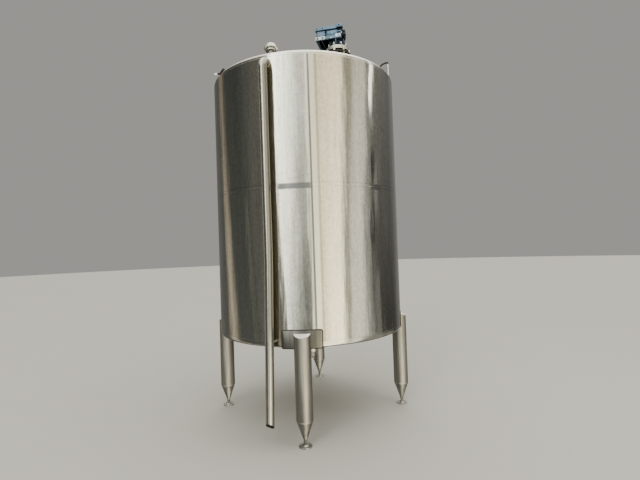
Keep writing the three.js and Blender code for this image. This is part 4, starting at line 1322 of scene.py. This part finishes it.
class TANK_OT_motor(bpy.types.Operator):
    """Models the finned motor, its fan cowl and its terminal box"""
    bl_idname = "tank.motor"
    bl_label = "Motor"

    def execute(self, context):
        dress(self.on_axis(self.body()), "motor_finned", "Motor paint", "blue_paint", "motor")
        dress(self.on_axis(self.cowl()), "motor_cowl", "Motor paint", "blue_paint", "motor_fan_cowl")
        dress(self.on_axis(self.guard()), "motor_fan_guard", "Black plastic", "black_plastic")
        dress(on_drive(self.box()), "terminal_box", "Black plastic", "black_plastic", "motor_terminal_box")
        return {"FINISHED"}

    def on_axis(self, piece):
        """Lays an upright piece along the motor's axis, then moves it to the drive."""
        return on_drive(put(piece, MOTOR_AXIS, (-90, 0, 0)))

    def body(self):
        """The motor's flange, end shields and cooling fins."""
        core = turned([(0.089, 0.0), (0.090, 0.001), (0.090, 0.013), (0.089, 0.014), (0.078, 0.017),
                       (0.0725, 0.026), (0.0725, 0.036), (0.067, 0.040), (0.067, 0.206), (0.0725, 0.210),
                       (0.0725, 0.2295)], 64)
        fin = block((-0.0014, 0.064, 0.036), (0.0014, 0.0748, 0.212), 0.0006, 1)
        bolt = put(hexagon(0.0065, 0.014, 0.0205), (0.0825, 0, 0))
        return joined(core, ring_of(fin, 40, first=4.5), ring_of(bolt, 4, first=45))

    def cowl(self):
        """A pressed cowl over the fan, with a rolled edge."""
        skin = turned([(0.0725, 0.2303), (0.0795, 0.2303), (0.080, 0.2312), (0.080, 0.2650), (0.0790, 0.2715),
                       (0.0745, 0.2800), (0.0665, 0.2852), (0.0620, 0.2863), (0.0605, 0.2863),
                       (0.0605, 0.2830), (0.060, 0.2750)], 64)
        bolt = put(turned([(0.0035, 0.0), (0.0035, 0.0012), (0.002, 0.0020)], 12), (0.0790, 0, 0.240),
                   (0, 90, 0))
        return joined(skin, ring_of(bolt, 4, first=45))

    def guard(self):
        """Rings and bars of the fan guard, in front of a dark opening."""
        rings = [hoop(radius, 0.0012, (0, 0, 0.2850), sides=6)
                 for radius in (0.014, 0.026, 0.038, 0.050, 0.059)]
        spoke = block((0.0, -0.0012, 0.2838), (0.060, 0.0012, 0.2858), 0.0004, 1)
        back = turned([(0.0600, 0.2752), (0.0600, 0.2762), (0.058, 0.2770)])
        return joined(back, ring_of(spoke, 6), *rings)

    def box(self):
        """A terminal box with a screwed lid, a gland plug and a foot that fits the motor."""
        base = block((-0.175, 0.1573, 3.705), (-0.071, 0.2573, 3.7470), 0.004, 3)
        lid = block((-0.1745, 0.1578, 3.7475), (-0.0715, 0.2568, 3.7670), 0.004, 3)
        inset(lid, lambda middle, normal: normal.z > 0.99 and middle.z > 3.7669, 0.010, 0.0015)
        rim = block((-0.1735, 0.1588, 3.7460), (-0.0725, 0.2558, 3.7490), 0.001, 1)
        carve(base, put(rod(0.0752, -0.01, 0.24, 48), MOTOR_AXIS, (-90, 0, 0)))
        screws = row_of(turned([(0.0042, 3.7640), (0.0042, 3.7664), (0.0030, 3.7669)], 12),
                        [(x, y, 0) for x in (-0.168, -0.078) for y in (0.1643, 0.2503)])
        gland = joined(turned([(0.012, 0), (0.012, 0.008), (0.010, 0.010), (0.010, 0.016), (0.006, 0.018)],
                              20), hexagon(0.0135, 0.002, 0.008))
        put(gland, (-0.072, 0.2073, 3.7290), (0, 90, 0))
        return joined(base, lid, rim, screws, gland)


# Roof fittings and the outlet

class TANK_OT_vent(bpy.types.Operator):
    """Models the vent pipe, its clamp and its domed cap"""
    bl_idname = "tank.vent"
    bl_label = "Vent"

    def execute(self, context):
        place = (*VENT_PLACE, 0)
        pipe = hollow([(0.02975, 3.2255), (VENT_RADIUS, 3.2255), (VENT_RADIUS, 3.3070), (0.03975, 3.3115),
                       (0.03975, 3.3160), (0.02975, 3.3160)])
        dress(put(pipe, place), "vent_stub", "Leg steel", "fitting_steel", "vent_pipe")
        dress(roof_collar(VENT_RADIUS, VENT_PLACE, 0.005), "vent_weld", "Weld steel", "fitting_steel")
        clamp = put(self.clamp(), place, (0, 0, CLAMP_TURN))
        dress(clamp, "vent_clamp_band", "Plate steel", "fitting_steel", "vent_clamp")
        cap = turned([(0.0380, 3.3163), (0.0388, 3.3170), (0.0388, 3.3215), (0.0580, 3.3262),
                      (0.0602, 3.3272), (0.0607, 3.3300), (0.0602, 3.3328), (0.0570, 3.3370),
                      (0.0510, 3.3410), (0.0475, 3.3465), (0.0448, 3.3530), (0.0417, 3.3600),
                      (0.0350, 3.3680), (0.0240, 3.3742), (0.0120, 3.3785), (0.0020, 3.3800)])
        dress(put(cap, place), "vent_hood", "Cap steel", "fitting_steel", "vent_cap", angle=40)
        return {"FINISHED"}

    def clamp(self):
        """A two-part band clamp with an ear at each side."""
        band = hollow([(0.0400, 3.3045), (0.0455, 3.3040), (0.0477, 3.3060), (0.0477, 3.3190),
                       (0.0455, 3.3210), (0.0400, 3.3205), (0.0435, 3.3170), (0.0435, 3.3080)])
        ear = block((0.044, -0.008, 3.3060), (0.0475, 0.008, 3.3190), 0.0015)
        return joined(band, ear, copied(ear, turn=(0, 0, 180)))


class TANK_OT_bars(bpy.types.Operator):
    """Models the lifting lug and the hook on the roof's edge"""
    bl_idname = "tank.bars"
    bl_label = "Lug and hook"

    def execute(self, context):
        post = bar([(0, -0.892, 3.197), (0, -0.892, 3.312)], 0.008)
        post = joined(post, self.foot(0.008, -0.892, 3.2075), self.foot(0.008, -0.820, 3.2297))
        arm = bar([(0, -0.892, 3.3115), (0, -0.892, 3.335), (0, -0.820, 3.317), (0, -0.820, 3.224)],
                  0.0079, 0.0225)
        hook = bar([(0, -0.872, 3.212), (0, -0.872, 3.253), (-0.120, -0.858, 3.253), (-0.156, -0.898, 3.253)],
                   0.009, 0.014)
        hook = joined(hook, self.foot(0.009, -0.872, 3.2195))
        tip = bar([(-0.138, -0.878, 3.253), (-0.1555, -0.8975, 3.253)], 0.0098)
        for piece, bearing, name, finish, *nodes in (
                (post, LUG_BEARING, "lifting_hoop_post", "Bolt steel", "lifting_lug"),
                # The arm and the hook bar take the same painted-shade steel.
                (arm, LUG_BEARING, "lifting_hoop_arm", "Dark flange steel", "lifting_lug"),
                (hook, HOOK_BEARING, "hook_bar", "Dark flange steel", "rim_hook"),
                # The hook's tip is near white as a painted highlight.
                (tip, HOOK_BEARING, "hook_tip", "White sleeve")):
            dress(at_bearing(piece, bearing), name, finish, "fitting_steel", *nodes, angle=60)
        return {"FINISHED"}

    def foot(self, radius, y, z):
        """The weld round an upright bar, laid on the roof's slope."""
        weld = turned([(radius + 0.0035, -0.004), (radius + 0.0030, 0.001), (radius + 0.0002, 0.005)], 20)
        return put(weld, (0, y, z), (ROOF_SLOPE, 0, 0))


class TANK_OT_manway(bpy.types.Operator):
    """Models the round manway with its dished lid and four clamps"""
    bl_idname = "tank.manway"
    bl_label = "Manway"

    def execute(self, context):
        place = (*MANWAY_PLACE, 0)
        neck = hollow([(0.221, 3.2475), (MANWAY_RADIUS, 3.2475), (MANWAY_RADIUS, 3.4385), (0.2240, 3.440),
                       (0.2218, 3.440), (0.221, 3.4385)], 96)
        dress(put(neck, place), "manway_collar", "Leg steel", "shell_steel", "manway_neck")
        dress(roof_collar(MANWAY_RADIUS, MANWAY_PLACE), "manway_weld", "Weld steel", "shell_steel")
        lid = turned([(0.234, 3.4403), (0.237, 3.4415), (0.237, 3.4505), (0.2355, 3.4523), (0.228, 3.4523),
                      (0.216, 3.4545), (0.180, 3.4640), (0.135, 3.4739), (0.090, 3.4785), (0.045, 3.4812),
                      (0.002, 3.4823)], 96)
        dress(put(lid, place), "manway_cover", "Head steel", "shell_steel", "manway_lid", angle=50)
        dress(put(self.clamps(), place), "manway_swing_bolts", "Bolt steel", "fitting_steel", "manway_clamps")
        return {"FINISHED"}

    def clamps(self):
        """A ring on the neck with four arms, each with a tongue and a fluted knob."""
        ring = hollow([(0.2253, 3.3903), (0.2390, 3.3903), (0.2390, 3.4063), (0.2253, 3.4063)], 96)
        bevel(ring, 0.0015)
        arm = block((-0.014, 0.2376, 3.3903), (0.014, 0.259, 3.4703), 0.003)
        carve(arm, block((-0.005, 0.236, 3.420), (0.005, 0.262, 3.465), 0.002))
        tongue = block((-0.010, 0.219, 3.4566), (0.010, 0.245, 3.4703), 0.002)
        knob = turned([(0.0145, 3.4683), (0.0160, 3.4710), (0.0160, 3.4960), (0.0140, 3.5005),
                       (0.0080, 3.5023)], 24)
        inset(knob, self.in_flute, 0.0005, 0.0015)
        put(knob, (0, 0.239, 0))
        stem = put(rod(0.005, 3.400, 3.4700, 16), (0, 0.2483, 0))
        return joined(ring, ring_of(joined(arm, tongue, knob, stem), 4, first=45))

    def in_flute(self, middle, normal):
        """Whether a face of the knob's side lies in one of its six flutes."""
        return abs(normal.z) < 0.1 and math.degrees(math.atan2(normal.y, normal.x)) % 60 < 30


class TANK_OT_outlet(bpy.types.Operator):
    """Models the bottom outlet with its clamped butterfly valve, lever and ferrule"""
    bl_idname = "tank.outlet"
    bl_label = "Bottom outlet"

    def execute(self, context):
        neck = hollow([(0.036, 0.6788), (0.038, 0.6788), (0.038, 0.599), (0.050, 0.595), (0.050, 0.590),
                       (0.036, 0.590)])
        dress(neck, "outlet_stub", "Leg steel", "fitting_steel", "outlet_neck")
        dress(self.valve(), "outlet_butterfly", "Bolt steel", "fitting_steel", "outlet_valve")
        dress(self.grip(), "outlet_grip", "Black plastic", "black_plastic")
        ferrule = hollow([(0.036, 0.540), (0.050, 0.540), (0.050, 0.535), (0.038, 0.531), (0.038, 0.489),
                          (0.050, 0.485), (0.050, 0.480), (0.036, 0.480)])
        dress(ferrule, "outlet_end", "Leg steel", "fitting_steel", "outlet_ferrule")
        return {"FINISHED"}

    def valve(self):
        """A round valve body with its stem, index plate and lever."""
        body = turned([(0.052, 0.5403), (0.054, 0.5420), (0.054, 0.5480), (0.0505, 0.5520), (0.0505, 0.5780),
                       (0.054, 0.5820), (0.054, 0.5880), (0.052, 0.5897)])
        stem = self.behind(turned([(0.009, 0), (0.009, 0.036), (0.008, 0.038)], 20), 0.048)
        plate = self.behind(turned([(0.020, 0), (0.020, 0.003), (0.019, 0.0035)], 24), 0.0765)
        lever = block((-0.012, 0.082, 0.553), (0.075, 0.094, 0.577), 0.002)
        bolt = self.behind(hexagon(0.008, 0, 0.002), 0.0925)
        side_bolt = put(hexagon(0.006, 0, 0.004), (0.0495, 0, VALVE_HEIGHT), (0, 90, 0))
        return joined(body, stem, plate, lever, bolt, side_bolt)

    def behind(self, piece, distance):
        """Lays an upright piece behind the valve, at a distance from the tank's axis."""
        return put(piece, (0, distance, VALVE_HEIGHT), (-90, 0, 0))

    def grip(self):
        """A grip on the lever, narrower at its inner end."""
        piece = block((0.060, 0.0805, 0.5515), (0.1495, 0.0955, 0.5785), 0.0045, 3)
        edit_parts(piece, "FACE", lambda face: face.normal.x < -0.9)
        bpy.ops.transform.resize(value=(1, 0.75, 0.8), center_override=(0.06, 0.088, VALVE_HEIGHT))
        return end_edit(piece)


# Floor, light and camera

# The studio that the steel mirrors: soft panels and the gaps between them. Each has its direction in the
# plan, in degrees, with 0 in front and 90 at the right, its colour, and how much its light grows upwards.
SURROUNDINGS = (
    (-180, (0.35, 0.34, 0.32), 0.0), (-150, (0.14, 0.14, 0.13), 0.0),
    # A narrow warm panel and a wide dark screen at the left.
    (-123, (0.10, 0.10, 0.095), 0.0), (-115, (0.57, 0.49, 0.38), -1.4), (-109, (0.31, 0.27, 0.22), -1.6),
    (-102, (0.085, 0.09, 0.085), -0.6), (-74, (0.085, 0.09, 0.085), -0.6), (-60, (0.14, 0.14, 0.13), -0.5),
    (-40, (0.16, 0.15, 0.13), 0.0),
    # The brightest panel, and a fainter one beside it.
    (-32.5, (0.26, 0.25, 0.23), 1.0), (-29.5, (3.4, 3.4, 3.05), 1.2), (-21, (2.1, 2.12, 1.92), 1.7),
    (-13, (1.15, 1.17, 1.08), 2.6), (-6, (0.56, 0.56, 0.52), 3.4), (2, (0.48, 0.47, 0.43), 3.4),
    # A wide cream panel up to a thin post, and one more.
    (5.5, (1.9, 1.84, 1.55), -0.6), (14, (2.0, 1.80, 1.26), -0.6), (24, (2.6, 2.28, 1.62), -0.8),
    (31, (2.9, 2.5, 1.85), -0.9), (38, (3.0, 2.7, 1.92), -0.9), (42, (1.7, 1.58, 1.22), -0.9),
    (47, (0.33, 0.31, 0.25), -0.7), (51, (1.0, 0.94, 0.78), -0.6), (58, (1.35, 1.24, 1.10), -0.6),
    (69, (1.30, 1.22, 1.10), -0.6),
    # Steps down into the dark at the right.
    (75, (0.38, 0.38, 0.35), -0.6), (79, (0.36, 0.36, 0.33), -0.4), (84, (0.18, 0.18, 0.17), 0.0),
    (94, (0.11, 0.11, 0.10), 2.0), (125, (0.09, 0.09, 0.09), 2.0), (150, (0.22, 0.21, 0.20), 0.0),
    (180, (0.35, 0.34, 0.32), 0.0),
)
# A ramp's stops hold numbers from 0 to 1, so a colour is divided by the brightest, and its growth by a limit.
BRIGHTEST = 4
LIFT_LIMIT = 4
# How far the panels at the sides lean as they rise.
PANEL_LEAN = math.radians(30)

# Small panes and gaps at the sides: the direction, half the width, the lowest and highest rise, the colour.
PANES = (
    (80.5, 2.0, 0.30, 0.60, (3.6, 3.5, 3.1)), (84.5, 2.2, 0.12, 0.20, (0.05, 0.05, 0.05)),
    (90.0, 2.0, 0.05, 0.18, (0.30, 0.30, 0.29)), (80.5, 1.2, -0.05, 0.08, (0.52, 0.52, 0.47)),
    (86.0, 2.0, -0.03, 0.08, (0.07, 0.07, 0.07)), (96.0, 9.0, 0.40, 0.60, (0.36, 0.34, 0.31)),
    (93.0, 4.0, -0.60, -0.09, (0.22, 0.22, 0.20)), (-74.0, 2.0, -0.30, 0.10, (0.15, 0.15, 0.13)),
    (95.0, 30.0, -1.00, -0.26, (0.34, 0.32, 0.28)),
)
PANE_EDGE = math.radians(0.6)
OVERHEAD = (3.2, 3.2, 3.0)

# The lamps: the name, the place, the point that it faces, its width and its power.
LAMPS = (
    ("lamp_front", (-1.8, -5.5, 5.2), (0, 0, 1.8), 3.0, 90),
    ("lamp_right", (4.5, -3.0, 4.5), (0, 0, 2.0), 2.0, 60),
)
FLOOR_RADIUS = 40
CAMERA_PLACE = (0.11652, -4.13547, 1.5972)
CAMERA_TURN = (91.0287, 1.9770, 0.0355)
SENSOR_WIDTH = 36


class TANK_OT_stage(bpy.types.Operator):
    """Makes the plain floor, the soft light and the camera"""
    bl_idname = "tank.stage"
    bl_label = "Stage"

    def execute(self, context):
        stage = context.scene.tank_stage
        self.floor(stage)
        self.world(context, stage)
        self.lamps(stage)
        self.camera(context, stage)
        return {"FINISHED"}

    def floor(self, stage):
        """A large plain floor, which the steel doesn't mirror."""
        floor = round_outline(FLOOR_RADIUS, (0, 0, 0), 128, "NGON")
        floor.name = "floor"
        material, tree, shader, place = start_material("Floor")
        colour = mix_colour(tree, even_noise(tree, place, 0.8), stage.floor, shade(stage.floor, 0.96))
        link(tree, colour, shader.inputs["Base Color"])
        shader.inputs["Roughness"].default_value = 0.7
        floor.data.materials.append(material)
        floor.visible_glossy = False

    def world(self, context, stage):
        """A studio of soft light and dark panels that the steel mirrors. The camera sees plain grey."""
        world = bpy.data.worlds.new("Studio")
        context.scene.world = world
        world.use_nodes = True
        tree = world.node_tree
        tree.nodes.clear()
        x, y, height = split(tree, tree.nodes.new("ShaderNodeTexCoord").outputs["Generated"])
        angle = math_node(tree, "ARCTAN2", x, times(tree, y, -1.0))
        at_left = math_node(tree, "LESS_THAN", angle, 0.0)
        rise = larger(tree, height, times(tree, height, at_left))
        lean = times(tree, math_node(tree, "SINE", angle, 0.0), rise)
        bearing = minus(tree, angle, times(tree, lean, PANEL_LEAN))
        ramp = tree.nodes.new("ShaderNodeValToRGB")
        link(tree, plus(tree, math_node(tree, "DIVIDE", bearing, 2 * math.pi), 0.5), ramp.inputs[0])
        stops = ramp.color_ramp.elements
        while len(stops) < len(SURROUNDINGS):
            stops.new(0.5)
        for stop, (place, colour, lift) in zip(stops, SURROUNDINGS):
            stop.position = (place + 180) / 360
            stop.color = [channel / BRIGHTEST for channel in colour] + [0.5 + lift / LIFT_LIMIT / 2]
        lift = times(tree, minus(tree, ramp.outputs[1], 0.5), 2 * LIFT_LIMIT)
        gain = larger(tree, plus(tree, times(tree, lift, height), 1.0), 0.5)
        scaled = tree.nodes.new("ShaderNodeVectorMath")
        scaled.operation = "SCALE"
        link(tree, ramp.outputs[0], scaled.inputs[0])
        link(tree, times(tree, gain, BRIGHTEST), scaled.inputs["Scale"])
        shown = scaled.outputs[0]
        for place, half_width, low, high, colour in PANES:
            across = line_at(tree, bearing, math.radians(place), math.radians(half_width), PANE_EDGE)
            shown = laid_over(tree, shown, across, between(tree, height, low, high, 0.05), colour)
        up_high = remap(tree, height, 0.50, 0.80)
        shown = laid_over(tree, shown, up_high, remap(tree, x, -0.60, -0.10, 0.45, 1.0), OVERHEAD)
        seen = tree.nodes.new("ShaderNodeLightPath").outputs["Is Camera Ray"]
        background = tree.nodes.new("ShaderNodeBackground")
        link(tree, mix_colour(tree, seen, shown, stage.backdrop), background.inputs["Color"])
        background.inputs["Strength"].default_value = stage.light
        link(tree, background.outputs[0], tree.nodes.new("ShaderNodeOutputWorld").inputs[0])

    def lamps(self, stage):
        """Two large soft lamps, high in front and at the right."""
        for name, place, aim, size, power in LAMPS:
            clear()
            bpy.ops.object.light_add(type="AREA", location=place)
            lamp = bpy.context.active_object
            lamp.name = name
            lamp.data.shape = "DISK"
            lamp.data.size = size
            lamp.visible_glossy = False
            lamp.data.energy = power * stage.light
            reach = [b - a for a, b in zip(place, aim)]
            tilt = math.atan2(reach[2], math.hypot(reach[0], reach[1]))
            lamp.rotation_euler = (math.pi / 2 + tilt, 0, math.atan2(reach[1], reach[0]) - math.pi / 2)

    def camera(self, context, stage):
        """A hand-held camera in front of the tank, a little rolled."""
        clear()
        turn = [math.radians(angle) for angle in CAMERA_TURN]
        bpy.ops.object.camera_add(location=CAMERA_PLACE, rotation=turn)
        camera = bpy.context.active_object
        camera.name = "camera"
        camera.data.sensor_fit = "HORIZONTAL"
        camera.data.sensor_width = SENSOR_WIDTH
        camera.data.lens = stage.lens
        context.scene.camera = camera


# Panel and registration

STEPS = ("shell", "legs", "overflow", "drive_mount", "gear_unit", "motor", "vent", "bars", "manway",
         "outlet", "stage")


class TANK_PT_panel(bpy.types.Panel):
    """Lists the tank's pieces with their sizes and colours"""
    bl_label = "Storage tank"
    bl_idname = "TANK_PT_panel"
    bl_space_type = "VIEW_3D"
    bl_region_type = "UI"
    bl_category = "Tank"

    def draw(self, context):
        for group in (context.scene.tank_sizes, context.scene.tank_finish, context.scene.tank_stage):
            box = self.layout.box()
            for name in group.__annotations__:
                box.prop(group, name)
        for step in STEPS:
            self.layout.operator("tank." + step)


CLASSES = (
    TankSizes, TankFinish, TankStage, TANK_OT_shell, TANK_OT_legs, TANK_OT_overflow, TANK_OT_drive_mount,
    TANK_OT_gear_unit, TANK_OT_motor, TANK_OT_vent, TANK_OT_bars, TANK_OT_manway, TANK_OT_outlet,
    TANK_OT_stage, TANK_PT_panel,
)


def register():
    """Registers the classes and the tank's settings."""
    for item in CLASSES:
        bpy.utils.register_class(item)
    bpy.types.Scene.tank_sizes = PointerProperty(type=TankSizes)
    bpy.types.Scene.tank_finish = PointerProperty(type=TankFinish)
    bpy.types.Scene.tank_stage = PointerProperty(type=TankStage)


def unregister():
    """Removes the settings and the classes."""
    for name in ("tank_sizes", "tank_finish", "tank_stage"):
        delattr(bpy.types.Scene, name)
    for item in reversed(CLASSES):
        bpy.utils.unregister_class(item)


def main():
    """Builds the tank and its stage."""
    register()
    for step in STEPS:
        getattr(bpy.ops.tank, step)()


if __name__ == "__main__":
    main()
